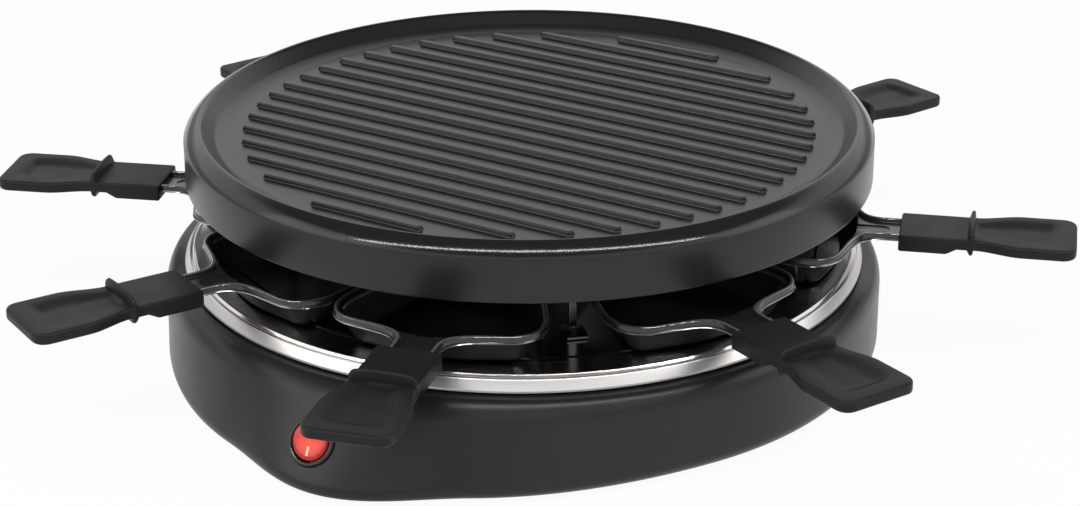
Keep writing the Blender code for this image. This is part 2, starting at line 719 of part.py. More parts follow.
def post_outline():
    """A support's side view as (distance from the base axis, height): foot, upright, heater arm, tab."""
    inner = POST_CIRCLE - POST_DEPTH / 2
    outer = POST_CIRCLE + POST_DEPTH / 2
    arm_top = HEATER_HEIGHT - HEATER_TUBE_RADIUS - FIT_GAP
    arm_bottom = arm_top - POST_ARM_HEIGHT
    hook_outer = HEATER_CIRCLE - HEATER_TUBE_RADIUS - FIT_GAP
    hook_inner = hook_outer - POST_ARM_HEIGHT
    tab = inner - (POST_TAB_LENGTH - POST_DEPTH)
    tab_bottom = POST_TOP - POST_TAB_HEIGHT
    return [
        (inner, POST_BOTTOM),
        (outer, POST_BOTTOM),
        (outer, POST_TOP),
        (tab, POST_TOP),
        (tab, tab_bottom),
        (inner, tab_bottom),
        (inner, arm_top),
        (hook_outer, arm_top),
        (hook_outer, arm_top + POST_HOOK_RISE),
        (hook_inner, arm_top + POST_HOOK_RISE),
        (hook_inner, arm_bottom),
        (inner, arm_bottom),
    ]


def outline_plate(name, outline, thickness):
    """A flat outline in the Y-Z plane, extruded to its thickness and made a mesh."""
    curve = bpy.data.curves.new(name, "CURVE")
    curve.dimensions = "2D"
    curve.fill_mode = "BOTH"
    curve.extrude = thickness / 2
    spline = curve.splines.new("POLY")
    spline.points.add(len(outline) - 1)
    for knot, (across, up) in zip(spline.points, outline):
        knot.co = (across, up, 0.0, 1.0)
    spline.use_cyclic_u = True
    guide = bpy.data.objects.new(name, curve)
    PARTS.objects.link(guide)
    bpy.context.view_layer.update()
    graph = bpy.context.evaluated_depsgraph_get()
    mesh = bpy.data.meshes.new_from_object(guide.evaluated_get(graph))
    bpy.data.objects.remove(guide)
    bm = bmesh.new()
    bm.from_mesh(mesh)
    bmesh.ops.remove_doubles(bm, verts=bm.verts, dist=MERGE_DISTANCE)
    stand_up = Matrix(((0, 0, 1, 0), (1, 0, 0, 0), (0, 1, 0, 0), (0, 0, 0, 1)))
    bmesh.ops.transform(bm, matrix=stand_up, verts=bm.verts)
    bpy.data.meshes.remove(mesh)
    return mesh_of(bm, name)


def make_posts(parent):
    """Four bent strips that carry the plate on a tab and the heater on a hooked arm."""
    plate_mesh = outline_plate("support_post", post_outline(), POST_THICKNESS)
    pad = bmesh.new()
    start = POST_CIRCLE - POST_DEPTH / 2
    add_box(
        pad,
        (-POST_FOOT_WIDTH / 2, start, POST_BOTTOM),
        (POST_FOOT_WIDTH / 2, start + POST_FOOT_LENGTH, POST_BOTTOM + POST_FOOT_HEIGHT),
    )
    pad_mesh = mesh_of(pad, "post_pad")
    hole = bmesh.new()
    low = POST_BOTTOM - CUT_OVERRUN
    high = POST_BOTTOM + POST_FOOT_HEIGHT + CUT_OVERRUN
    add_cylinder(hole, RIVET_RADIUS + FIT_GAP, low, high, rivet_place(0.0).xy, 12)
    hole_mesh = mesh_of(hole, "post_hole")
    for i, azimuth in enumerate(post_places()):
        turn = turned_to(azimuth)
        post = new_object(f"support_post_{i + 1}", plate_mesh, POST_STEEL, parent, turn)
        combine(post, new_cutter(f"post_pad_{i + 1}", pad_mesh, parent, turn), "UNION")
        combine(post, new_cutter(f"post_hole_{i + 1}", hole_mesh, parent, turn))
        make_rivet(i + 1, rivet_place(azimuth), parent)


def make_rivet(number, place, parent):
    pad_top = POST_BOTTOM + POST_FOOT_HEIGHT + FIT_GAP
    under = TRAY_UNDERSIDE - FIT_GAP
    profile = [
        (0.0, pad_top + RIVET_HEAD_HEIGHT),
        (RIVET_HEAD_RADIUS * 0.6, pad_top + RIVET_HEAD_HEIGHT),
        (RIVET_HEAD_RADIUS, pad_top),
        (RIVET_RADIUS, pad_top),
        (RIVET_RADIUS, under),
        (RIVET_HEAD_RADIUS, under),
        (RIVET_HEAD_RADIUS * 0.6, under - RIVET_HEAD_HEIGHT),
        (0.0, under - RIVET_HEAD_HEIGHT),
    ]
    turned(f"post_rivet_{number}", profile, 12, SCREW_STEEL, parent, Matrix.Translation(place))


def leg_places():
    """Where the heater's two legs pass the tray, each side of its middle."""
    turn = turned_to(HEATER_GAP_AZIMUTH)
    half = HEATER_LEG_SPACING / 2
    return [turn @ Vector((half, 0.0, 0.0)), turn @ Vector((-half, 0.0, 0.0))]


def heater_path():
    """A ring open at one side, whose ends run in to the middle and down through the tray."""
    half = HEATER_LEG_SPACING / 2
    reach = math.sqrt(HEATER_CIRCLE**2 - half**2)
    leg = [
        Vector((half, 0.0, HEATER_LEG_END)),
        Vector((half, 0.0, HEATER_HEIGHT)),
        Vector((half, reach, HEATER_HEIGHT)),
    ]
    gap = 2 * math.degrees(math.atan2(half + HEATER_BEND, reach))
    count = round((360 - gap) / HEATER_ARC_STEP)
    ring = []
    for i in range(count + 1):
        azimuth = gap / 2 + (360 - gap) * i / count
        ring.append(place_at(azimuth, HEATER_CIRCLE, HEATER_HEIGHT))
    path = [leg[0]]
    path += rounded_corner(leg[0], leg[1], leg[2], HEATER_BEND, 4)
    path += rounded_corner(leg[1], leg[2], ring[0], HEATER_BEND / 2, 2)
    path += ring
    mirrored = [Vector((-point.x, point.y, point.z)) for point in path[: -len(ring)]]
    path += mirrored[::-1]
    return [turned_to(HEATER_GAP_AZIMUTH) @ point for point in path]


def make_heater(parent):
    tube("heating_element", heater_path(), HEATER_TUBE_RADIUS, HEATER_STEEL, parent)
    flange_bottom = TRAY_FLOOR + FIT_GAP
    flange_top = flange_bottom + BUSH_FLANGE_HEIGHT
    bore = HEATER_TUBE_RADIUS + FIT_GAP
    profile = [
        (bore, flange_top),
        (BUSH_BODY_RADIUS, flange_top),
        (BUSH_FLANGE_RADIUS, flange_top - BUSH_FLANGE_HEIGHT / 2),
        (BUSH_FLANGE_RADIUS, flange_bottom),
        (BUSH_BODY_RADIUS, flange_bottom),
        (BUSH_BODY_RADIUS, flange_top - BUSH_LENGTH),
        (bore, flange_top - BUSH_LENGTH),
    ]
    for i, place in enumerate(leg_places()):
        turned(f"heater_bush_{i + 1}", profile, SMALL_STEPS, CERAMIC, parent, Matrix.Translation(place))


def dish_outline(inset):
    """The dish's outline drawn in by an inset, from the inner right corner round to the left one."""
    slope = (PAN_HALF_WIDTH - PAN_INNER_HALF_WIDTH) / (PAN_WIDE_START - PAN_INNER_END)
    stretch = math.hypot(1.0, slope)
    inner_y = PAN_INNER_END + inset
    wide_x = PAN_HALF_WIDTH - inset
    inner_x = PAN_INNER_HALF_WIDTH + slope * inset - inset * stretch
    wide_y = PAN_INNER_END + (wide_x - PAN_INNER_HALF_WIDTH + inset * stretch) / slope
    front_slope = (PAN_FRONT_END - PAN_FRONT_CORNER) / PAN_HALF_WIDTH
    front_y = PAN_FRONT_END - inset * math.hypot(1.0, front_slope)
    corner_y = front_y - front_slope * wide_x
    right = [
        (inner_x, inner_y, PAN_INNER_RADIUS - inset / 2, 3),
        (wide_x, wide_y, PAN_SIDE_RADIUS, 1),
        (wide_x, corner_y, PAN_CORNER_RADIUS - inset, 4),
    ]
    apex = (0.0, front_y, PAN_HALF_WIDTH * 1.5, 7)
    left = [(-x, y, radius, steps) for x, y, radius, steps in reversed(right)]
    return rounded_outline([*right, apex, *left])


def neck_outline():
    """The eight points at the dish's front, drawn out along the neck to the end of its tang."""
    front_slope = (PAN_FRONT_END - PAN_FRONT_CORNER) / PAN_HALF_WIDTH
    root_y = PAN_FRONT_END - front_slope * NECK_ROOT_HALF_WIDTH
    waist_y = root_y + NECK_WAIST_LENGTH
    right = [
        (NECK_ROOT_HALF_WIDTH, root_y, 0.0),
        (NECK_WAIST_HALF_WIDTH, waist_y, NECK_DROP / 3),
        (NECK_HALF_WIDTH, root_y + NECK_LENGTH, NECK_DROP),
        (NECK_HALF_WIDTH, TANG_END, NECK_DROP),
    ]
    return right + [(-x, y, drop) for x, y, drop in reversed(right)]


def rim_ring(inset, z):
    """A ring of the rim: the dish's outline, with its front points moved out along the neck."""
    dish = dish_outline(inset)
    neck = neck_outline()
    start = (len(dish) - len(neck)) // 2
    ring = [(x, y, z) for x, y in dish]
    for i, (x, y, drop) in enumerate(neck):
        side = math.copysign(inset, x)
        ring[start + i] = (x - side, y - inset, z - drop)
    return ring


def mouth_ring(inset, z):
    """The dish's mouth, which dips to the neck at its front."""
    dish = dish_outline(inset)
    neck = neck_outline()
    start = (len(dish) - len(neck)) // 2
    ring = [(x, y, z) for x, y in dish]
    for i, (_, _, drop) in enumerate(neck):
        x, y = dish[start + i]
        ring[start + i] = (x, y, z - drop)
    return ring


def pan_mesh():
    """The pressed sheet's upper face: turned edge, flat rim, sloping wall and floor."""
    floor = PAN_UNDERSIDE + PAN_SHEET
    rings = [
        rim_ring(0.0, PAN_RIM - PAN_RIM_TURN),
        rim_ring(PAN_RIM_TURN / 8, PAN_RIM),
        mouth_ring(PAN_RIM_WIDTH, PAN_RIM - PAN_SHEET / 4),
        [(x, y, floor + PAN_SHEET) for x, y in dish_outline(PAN_RIM_WIDTH + PAN_WALL_RUN * 0.85)],
        [(x, y, floor) for x, y in dish_outline(PAN_RIM_WIDTH + PAN_WALL_RUN)],
    ]
    bm = bmesh.new()
    rows = [[bm.verts.new(point) for point in ring] for ring in rings]
    count = len(rows[0])
    for outer, inner in zip(rows, rows[1:]):
        for i in range(count):
            j = (i + 1) % count
            bm.faces.new((outer[i], outer[j], inner[j], inner[i]))
    bm.faces.new(rows[-1])
    return mesh_of(bm, "pan", outward=False)


def handle_ring(y, half_width, top, bottom, corner):
    """An upright rounded rectangle across the handle."""
    centres = [
        (half_width - corner, top - corner, 0),
        (corner - half_width, top - corner, 90),
        (corner - half_width, bottom + corner, 180),
        (half_width - corner, bottom + corner, 270),
    ]
    ring = []
    for x, z, start in centres:
        ring += [(px, y, pz) for px, pz in arc((x, z), corner, start, start + 90, 2)]
    return ring


def handle_mesh():
    sleeve_bottom = SLEEVE_TOP - SLEEVE_HEIGHT
    guard_start = HANDLE_START + SLEEVE_LENGTH
    guard_end = guard_start + GUARD_THICKNESS
    end = guard_end + PADDLE_LENGTH
    paddle_bottom = SLEEVE_TOP - PADDLE_THICKNESS
    edge = HANDLE_EDGE_RADIUS
    chamfer = SLEEVE_CHAMFER
    guard = (SLEEVE_HALF_WIDTH + GUARD_OVERHANG, SLEEVE_TOP + GUARD_RISE, sleeve_bottom - GUARD_DROP)
    end_width = SLEEVE_HALF_WIDTH - chamfer
    end_top = SLEEVE_TOP - chamfer / 2
    end_bottom = sleeve_bottom + chamfer / 2
    deep_end = HANDLE_START + SLEEVE_DEEP_LENGTH
    rings = [
        handle_ring(HANDLE_START, end_width, end_top, end_bottom, edge),
        handle_ring(HANDLE_START + chamfer, SLEEVE_HALF_WIDTH, SLEEVE_TOP, sleeve_bottom, edge),
        handle_ring(deep_end, SLEEVE_HALF_WIDTH, SLEEVE_TOP, sleeve_bottom, edge),
        handle_ring(deep_end + SLEEVE_SLANT_LENGTH, SLEEVE_HALF_WIDTH, SLEEVE_TOP, paddle_bottom, edge),
        handle_ring(guard_start, SLEEVE_HALF_WIDTH, SLEEVE_TOP, paddle_bottom, edge),
        handle_ring(guard_start, *guard, GUARD_CORNER),
        handle_ring(guard_end, *guard, GUARD_CORNER),
    ]
    for along, widened in PADDLE_FLARE_SHARES:
        y = guard_end + PADDLE_FLARE_LENGTH * along
        half_width = SLEEVE_HALF_WIDTH + (PADDLE_HALF_WIDTH - SLEEVE_HALF_WIDTH) * widened
        rings.append(handle_ring(y, half_width, SLEEVE_TOP, paddle_bottom, edge))
    rings.append(handle_ring(end - PADDLE_CORNER, PADDLE_HALF_WIDTH, SLEEVE_TOP, paddle_bottom, edge))
    for turn in (35, 65, 90):
        angle = math.radians(turn)
        y = end - PADDLE_CORNER * (1 - math.sin(angle))
        half_width = PADDLE_HALF_WIDTH - PADDLE_CORNER * (1 - math.cos(angle))
        thin = edge / 3 * (1 - math.cos(angle))
        rings.append(handle_ring(y, half_width, SLEEVE_TOP - thin, paddle_bottom + thin, edge))
    return loft(rings, "pan_handle")


def pocket_mesh():
    """The socket in the sleeve that takes the pan's tang."""
    side = NECK_HALF_WIDTH + FIT_GAP
    pocket = bmesh.new()
    add_box(
        pocket,
        (-side, HANDLE_START - CUT_OVERRUN, TANG_TOP - PAN_RIM_TURN - FIT_GAP),
        (side, TANG_END + FIT_GAP, TANG_TOP + FIT_GAP),
    )
    return mesh_of(pocket, "pocket")


def make_pans():
    pan = pan_mesh()
    handle = handle_mesh()
    pocket = pocket_mesh()
    for i, (azimuth, shift) in enumerate(zip(PAN_AZIMUTHS, PAN_SHIFTS)):
        slide = new_empty(f"pan_slide_{i + 1}", place_at(azimuth, shift), azimuth)
        sheet_pan = new_object(f"pan_{i + 1}", pan, PAN_COATING, slide)
        sheet = sheet_pan.modifiers.new("sheet", "SOLIDIFY")
        sheet.thickness = PAN_SHEET
        sheet.offset = -1.0
        grip = new_object(f"pan_handle_{i + 1}", handle, HANDLE_PLASTIC, slide)
        combine(grip, new_cutter(f"pocket_{i + 1}", pocket, slide))


def make_switch(parent):
    """Bezel and barrel in one, the rocker on its hinge, its lamp, and the terminal blades."""
    place = switch_matrix()
    seat = FIT_GAP - SWITCH_SEAT_DEPTH
    front = seat + BEZEL_THICKNESS
    back = seat - BARREL_LENGTH
    cavity = front - SWITCH_CAVITY_DEPTH
    profile = [
        (SWITCH_CAVITY_RADIUS, front),
        (BEZEL_RADIUS - BEZEL_THICKNESS / 4, front),
        (BEZEL_RADIUS, front - BEZEL_THICKNESS / 4),
        (BEZEL_RADIUS, seat),
        (BARREL_RADIUS, seat),
        (BARREL_RADIUS, back),
        (0.0, back),
        (0.0, cavity),
        (SWITCH_CAVITY_RADIUS, cavity),
    ]
    mesh = bpy.data.meshes.new("switch_housing")
    order = profile[7:] + profile[:7]
    edges = [(i, i + 1) for i in range(len(order) - 1)]
    mesh.from_pydata([(radius, 0.0, z) for radius, z in order], edges, [])
    housing = new_object("switch_housing", mesh, BEZEL_PLASTIC, parent, place)
    add_screw(housing, MID_STEPS)
    make_rocker(parent, place, front)
    make_lamp(parent, place, cavity)
    make_blades(parent, place, back)


def make_rocker(parent, place, front):
    """A round rocker with sloping edges, tilted to its on position."""
    levels = [
        (-ROCKER_HEIGHT, ROCKER_RADIUS * 0.92),
        (0.0, ROCKER_RADIUS),
        (ROCKER_RISE, ROCKER_RADIUS * 0.94),
    ]
    rings = []
    for z, radius in levels:
        turn = [2 * math.pi * i / MID_STEPS for i in range(MID_STEPS)]
        rings.append([(radius * math.cos(t), radius * math.sin(t), z) for t in turn])
    hinge = place @ Matrix.Translation((0.0, 0.0, front - ROCKER_RISE / 2))
    tilt = Matrix.Rotation(math.radians(ROCKER_TILT), 4, "X")
    new_object("switch_rocker", loft(rings, "switch_rocker"), ROCKER_RED, parent, hinge @ tilt)


def make_lamp(parent, place, cavity):
    """The glow lamp, lying along the hinge at the bottom of the cavity."""
    bm = bmesh.new()
    add_cylinder(bm, LAMP_RADIUS, -LAMP_LENGTH / 2, LAMP_LENGTH / 2, steps=12)
    lay = Matrix.Rotation(math.pi / 2, 4, "Y")
    matrix = place @ Matrix.Translation((0.0, 0.0, cavity + LAMP_RADIUS + FIT_GAP)) @ lay
    new_object("switch_lamp", mesh_of(bm, "switch_lamp"), LAMP_GLASS, parent, matrix)


def blade_places(back):
    """Each blade's middle, in the switch's frame."""
    offsets = [(i - (BLADE_COUNT - 1) / 2) * BLADE_SPACING for i in range(BLADE_COUNT)]
    return [Vector((offset, 0.0, back - FIT_GAP - BLADE_LENGTH / 2)) for offset in offsets]


def make_blades(parent, place, back):
    blade = bmesh.new()
    half = Vector((BLADE_THICKNESS, BLADE_WIDTH, BLADE_LENGTH)) / 2
    add_box(blade, -half, half)
    mesh = mesh_of(blade, "switch_terminal")
    for i, middle in enumerate(blade_places(back)):
        matrix = place @ Matrix.Translation(middle)
        new_object(f"switch_terminal_{i + 1}", mesh, BRASS, parent, matrix)


def make_gland(parent):
    """The bush that the mains lead would pass: flange outside the wall, a collar inside it."""
    out = FIT_GAP + GLAND_FLANGE_THICKNESS
    inside = -SHELL_WALL - GLAND_INNER_LENGTH
    profile = [
        (GLAND_BORE_RADIUS, out),
        (GLAND_FLANGE_RADIUS * 0.8, out),
        (GLAND_FLANGE_RADIUS, out - GLAND_FLANGE_THICKNESS / 2),
        (GLAND_FLANGE_RADIUS, FIT_GAP),
        (GLAND_BODY_RADIUS, FIT_GAP),
        (GLAND_BODY_RADIUS, inside),
        (GLAND_BORE_RADIUS, inside),
    ]
    turned("cord_gland", profile, SMALL_STEPS, RUBBER, parent, gland_matrix())


def make_terminal_block(parent):
    block = bmesh.new()
    bottom = COVER_TOP + FIT_GAP
    add_box(
        block,
        (-BLOCK_LENGTH / 2, BLOCK_PLACE - BLOCK_WIDTH / 2, bottom),
        (BLOCK_LENGTH / 2, BLOCK_PLACE + BLOCK_WIDTH / 2, bottom + BLOCK_HEIGHT),
    )
    obj = new_object("terminal_block", mesh_of(block, "terminal_block"), BLOCK_NYLON, parent)
    edge = obj.modifiers.new("edges", "BEVEL")
    edge.width = BLOCK_EDGE
    edge.segments = 1


def make_cutout(parent):
    """The disc-shaped thermal cut-out, pressed up under the tray."""
    top = TRAY_UNDERSIDE - FIT_GAP
    profile = [
        (0.0, top),
        (CUTOUT_RADIUS, top),
        (CUTOUT_RADIUS, top - CUTOUT_HEIGHT / 2),
        (CUTOUT_RADIUS * 0.85, top - CUTOUT_HEIGHT / 2),
        (CUTOUT_RADIUS * 0.85, top - CUTOUT_HEIGHT),
        (0.0, top - CUTOUT_HEIGHT),
    ]
    place = Matrix.Translation(place_at(CUTOUT_AZIMUTH, CUTOUT_PLACE))
    turned("thermal_cutout", profile, MID_STEPS, CUTOUT_CASE, parent, place)


def lead_between(name, start, leaving, end, arriving, parent, level, side=0.0):
    """A lead that leaves one end straight, runs at its level and comes straight into the other end."""
    out = start + leaving * LEAD_STUB
    back = end + arriving * LEAD_STUB
    across = (back - out).cross(Vector((0.0, 0.0, 1.0))).normalized() * side
    low = [out.lerp(back, share) + across for share in (0.35, 0.65)]
    for point in low:
        point.z = level
    route = smooth_route([start, out, *low, back, end], LEAD_SAMPLES)
    tube(name, route, LEAD_RADIUS, LEAD_SLEEVING, parent)


def make_leads(parent):
    """Switch to block, switch to cut-out, cut-out to one heater leg, block to the other."""
    place = switch_matrix()
    back = FIT_GAP - SWITCH_SEAT_DEPTH - BARREL_LENGTH
    tip = Vector((0.0, 0.0, -BLADE_LENGTH / 2 - FIT_GAP - LEAD_RADIUS))
    blades = [place @ (middle + tip) for middle in blade_places(back)]
    inward = -place_at(SWITCH_AZIMUTH, 1.0)
    down = Vector((0.0, 0.0, -1.0))
    front = Vector((0.0, -1.0, 0.0))
    block_face = BLOCK_PLACE - BLOCK_WIDTH / 2 - FIT_GAP
    block_front = Vector((0.0, block_face, COVER_TOP + FIT_GAP + BLOCK_HEIGHT / 2))
    block_side = Vector((BLOCK_LENGTH / 4, 0.0, 0.0))
    cutout = place_at(CUTOUT_AZIMUTH, CUTOUT_PLACE, TRAY_UNDERSIDE - CUTOUT_HEIGHT - 2 * FIT_GAP)
    cutout_side = Vector((CUTOUT_RADIUS / 2, 0.0, 0.0))
    legs = [point + Vector((0.0, 0.0, HEATER_LEG_END - 2 * FIT_GAP)) for point in leg_places()]
    high = LEAD_LEVEL + LEAD_SPACING
    wide = LEAD_SPACING * 4
    lead_between("lead_1", blades[2], inward, block_front - block_side, front, parent, LEAD_LEVEL, wide)
    lead_between("lead_2", blades[0], inward, cutout - cutout_side, down, parent, LEAD_LEVEL)
    lead_between("lead_3", cutout + cutout_side, down, legs[1], down, parent, high)
    lead_between("lead_4", block_front + block_side, front, legs[0], down, parent, high)


base_axis = new_empty("base_axis", (BASE_SHIFT, 0.0, 0.0))
plate_axis = new_empty("plate_axis", (0.0, 0.0, 0.0))
make_grill_plate(plate_axis)
make_base_shell(base_axis)
make_bottom_cover(base_axis)
make_cover_screws(base_axis)
make_feet(base_axis)
make_tray(base_axis)
make_posts(base_axis)
make_heater(base_axis)
make_pans()
make_switch(base_axis)
make_gland(base_axis)
make_terminal_block(base_axis)
make_cutout(base_axis)
make_leads(base_axis)
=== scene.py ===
"""Looks of the raclette grill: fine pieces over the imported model, their finishes, and a plain studio.

Metres, +Z up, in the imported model's frame. Azimuths are in degrees, clockwise from +Y seen from above.
"""

from math import atan2, copysign, cos, degrees, hypot, pi, radians, sin, sqrt, tan

import bmesh
import bpy
from mathutils import Matrix, Vector


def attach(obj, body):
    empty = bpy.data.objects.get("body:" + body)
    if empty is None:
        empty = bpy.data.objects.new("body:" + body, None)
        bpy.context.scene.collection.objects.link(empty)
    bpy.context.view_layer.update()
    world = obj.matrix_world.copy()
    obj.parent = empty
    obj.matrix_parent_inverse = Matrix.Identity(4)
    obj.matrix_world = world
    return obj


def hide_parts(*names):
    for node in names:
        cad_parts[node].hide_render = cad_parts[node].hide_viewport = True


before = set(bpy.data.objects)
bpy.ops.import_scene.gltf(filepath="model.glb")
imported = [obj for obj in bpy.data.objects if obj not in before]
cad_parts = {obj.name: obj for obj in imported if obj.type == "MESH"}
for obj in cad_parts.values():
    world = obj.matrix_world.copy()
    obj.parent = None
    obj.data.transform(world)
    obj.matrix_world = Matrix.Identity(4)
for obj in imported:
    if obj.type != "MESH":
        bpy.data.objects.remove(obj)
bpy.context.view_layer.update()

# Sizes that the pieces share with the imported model
BASE_SHIFT = -0.0027
PLATE_RADIUS = 0.150
PLATE_TOP = 0.105
PLATE_FLAT = 0.0982
PLATE_UNDERSIDE = 0.0932
PLATE_EDGE = 0.0805
RIB_COUNT = 19
RIB_PITCH = 0.01354
RIB_CIRCLE = 0.125
RIB_HALF_WIDTH = 0.0029
RIB_HALF_LENGTH = 0.010
RIB_AZIMUTH = 122.5
SHELL_RADIUS = 0.1578
SHELL_TOP = 0.0410
SHELL_WALL = 0.0025
SHELL_LIFT = 0.0020
SHELL_LIP_RADIUS = 0.1488
SHELL_LIP_TOP = 0.0065
TRAY_FLOOR = 0.0479
TRAY_SHEET = 0.0008
HEATER_CIRCLE = 0.092
HEATER_HEIGHT = 0.0840
HEATER_TUBE_RADIUS = 0.00325
HEATER_GAP_AZIMUTH = 34.0
PAN_AZIMUTHS = (-163.2, -122.2, -80.0, -37.0, 11.0, 53.0, 101.3, 146.1)
PAN_SHIFTS = (-0.0015, 0.0017, 0.0027, 0.0, 0.0, 0.0020, -0.0005, -0.0020)
PAN_RIM = 0.0635
PAN_FLOOR = 0.0497
SWITCH_AZIMUTH = -150.5
SWITCH_HEIGHT = 0.0210
INLET_HEIGHT = 0.0190
COVER_AZIMUTH = 45.0
FOOT_CIRCLE = 0.118
COVER_SCREW_CIRCLE = 0.1415
POST_AZIMUTH = -11.0
POST_RIVET_CIRCLE = 0.1084
HEATER_LEG_OFFSET = 0.013
BASE_PLACE = Matrix.Translation((BASE_SHIFT, 0.0, 0.0))
# How far the base's broad lobe and its nose stand out, and the middle and half width of each in degrees
LOBE = (0.0151, -149.9, 59.9)
NOSE = (0.0107, -153.1, 19.5)

# Sizes that only this file has
CREST_WIDTH = 0.0066
CREST_HEIGHT = 0.0062
BAND_START = 0.1469
BAND_END = 0.1500
PAN_BEAD_RADIUS = 0.0008
MERGE_DISTANCE = 0.000005
SHARP_ANGLE = 32.0


# Nodes of finishes and of repeated shapes


def operator(operation, swapped=False):
    """A method that adds a node of this kind of arithmetic."""

    def worked(self, other):
        return self.math(operation, *((other, self) if swapped else (self, other)))

    return worked


class Value:
    """One output of a node. Arithmetic on it adds the nodes that work it out."""

    def __init__(self, nodes, socket):
        self.nodes = nodes
        self.socket = socket

    def math(self, operation, first, second=0.0):
        return self.nodes.node("ShaderNodeMath", {0: first, 1: second}, operation=operation)

    def size(self):
        return self.math("ABSOLUTE", self)

    __add__ = __radd__ = operator("ADD")
    __sub__, __rsub__ = operator("SUBTRACT"), operator("SUBTRACT", swapped=True)
    __mul__ = __rmul__ = operator("MULTIPLY")
    __truediv__, __rtruediv__ = operator("DIVIDE"), operator("DIVIDE", swapped=True)
    __pow__ = operator("POWER")
    above, below = operator("GREATER_THAN"), operator("LESS_THAN")
    larger, smaller = operator("MAXIMUM"), operator("MINIMUM")


class Nodes:
    """A node tree that is filled through one method."""

    def __init__(self, tree):
        self.tree = tree

    def node(self, kind, inputs=None, output=0, **settings):
        made = self.tree.nodes.new(kind)
        for name, setting in settings.items():
            if name == "stops":
                self.set_stops(made.color_ramp, setting)
            else:
                setattr(made, name, setting)
        for key, value in (inputs or {}).items():
            self.feed(made.inputs[key], value)
        return Value(self, made.outputs[output])

    def part(self, vector, axis):
        """One of a vector's three numbers."""
        return self.node("ShaderNodeSeparateXYZ", {0: vector}, axis)

    def feed(self, socket, value):
        if isinstance(value, Value):
            self.tree.links.new(value.socket, socket)
        else:
            socket.default_value = value

    def set_stops(self, ramp, stops):
        while len(ramp.elements) < len(stops):
            ramp.elements.new(0.5)
        for element, (place, level) in zip(ramp.elements, stops):
            element.position = place
            element.color = (level, level, level, 1.0)


class Finish(Nodes):
    """A material whose colour, roughness and relief come from nodes on the piece's own coordinates."""

    def __init__(self, name, **constants):
        self.material = bpy.data.materials.new(name)
        self.material.use_nodes = True
        super().__init__(self.material.node_tree)
        self.tree.nodes.clear()
        self.shader = self.tree.nodes.new("ShaderNodeBsdfPrincipled")
        surface = self.tree.nodes.new("ShaderNodeOutputMaterial")
        self.feed(surface.inputs[0], Value(self, self.shader.outputs[0]))
        self.place = self.node("ShaderNodeTexCoord", output="Object")
        for name, value in constants.items():
            self.put(name.replace("_", " "), value)

    def put(self, name, value):
        self.feed(self.shader.inputs[name], value)

    def mapped(self, size, shift):
        return self.node("ShaderNodeMapping", {"Vector": self.place, "Location": shift, "Scale": size})

    def noise(self, size, detail, shift=0.0):
        """Blotches about this many metres across, or this many along each axis, from 0 to 1."""
        sizes = size if isinstance(size, tuple) else (size, size, size)
        scale = tuple(1.0 / s for s in sizes)
        place = self.mapped(scale, (shift, shift, shift))
        return self.node("ShaderNodeTexNoise", {"Vector": place, "Scale": 1.0, "Detail": detail})

    def radius(self, centre=(0.0, 0.0)):
        """The distance from an upright axis."""
        flat = self.mapped((1.0, 1.0, 0.0), (-centre[0], -centre[1], 0.0))
        return self.node("ShaderNodeVectorMath", {0: flat}, "Value", operation="LENGTH")

    def height(self):
        """The height above the table."""
        return self.part(self.place, "Z")

    def ramp(self, value, *stops):
        return self.node("ShaderNodeValToRGB", {0: value}, stops=stops)

    def blend(self, share, first, second):
        """A colour between two colours."""
        inputs = {0: share}
        for key, colour in ((6, first), (7, second)):
            inputs[key] = colour if isinstance(colour, Value) else (*colour, 1.0)
        return self.node("ShaderNodeMix", inputs, 2, data_type="RGBA")

    def lit_for_the_eye(self, share):
        """Mixes in plain white for what is seen directly, so the floor is white and keeps its shadow."""
        glow = self.node("ShaderNodeEmission", {"Color": (1.0, 1.0, 1.0, 1.0), "Strength": 1.0})
        surface = Value(self, self.shader.outputs[0])
        mixed = self.node("ShaderNodeMixShader", {0: seen_directly(self) * share, 1: surface, 2: glow})
        end = next(node for node in self.tree.nodes if node.type == "OUTPUT_MATERIAL")
        self.feed(end.inputs[0], mixed)

    def dress(self, colour, roughness, height, depth):
        """Puts in colour, roughness and relief this deep in metres, and gives the material."""
        bumped = self.node("ShaderNodeBump", {"Strength": 1.0, "Distance": depth, "Height": height})
        self.put("Base Color", colour)
        self.put("Roughness", roughness)
        self.put("Normal", bumped)
        return self.material


def seen_rays(nodes):
    rays = ("Is Camera Ray", "Is Glossy Ray", "Is Transmission Ray")
    return [nodes.node("ShaderNodeLightPath", output=name) for name in rays]


def seen_directly(nodes):
    """1 where the camera looks straight at it, or in a mirror or through glass, and 0 elsewhere."""
    camera, glossy, clear = seen_rays(nodes)
    return (camera + glossy + clear).smaller(1.0)


# Where the studio's walls begin and end: two heights, and how bright it is at each
WALL_FOOT = (0.10, 0.28, 0.35, 1.0)
WALL_HEAD = (0.52, 0.72, 1.15, 0.10)
DULL_LIGHT = 0.40


def studio_light(nodes):
    """White for the eye, an even light for dull surfaces, and walls under a dim ceiling for shiny ones."""
    place = nodes.node("ShaderNodeTexCoord", output="Generated")
    height = nodes.part(place, "Z")
    foot, head = [
        nodes.node("ShaderNodeMapRange", dict(enumerate((height, *ends))), interpolation_type="SMOOTHSTEP")
        for ends in (WALL_FOOT, WALL_HEAD)
    ]
    camera, glossy, clear = seen_rays(nodes)
    plain = camera + clear - camera * clear
    return plain + (1.0 - plain) * (glossy * foot * head + (1.0 - glossy) * DULL_LIGHT)


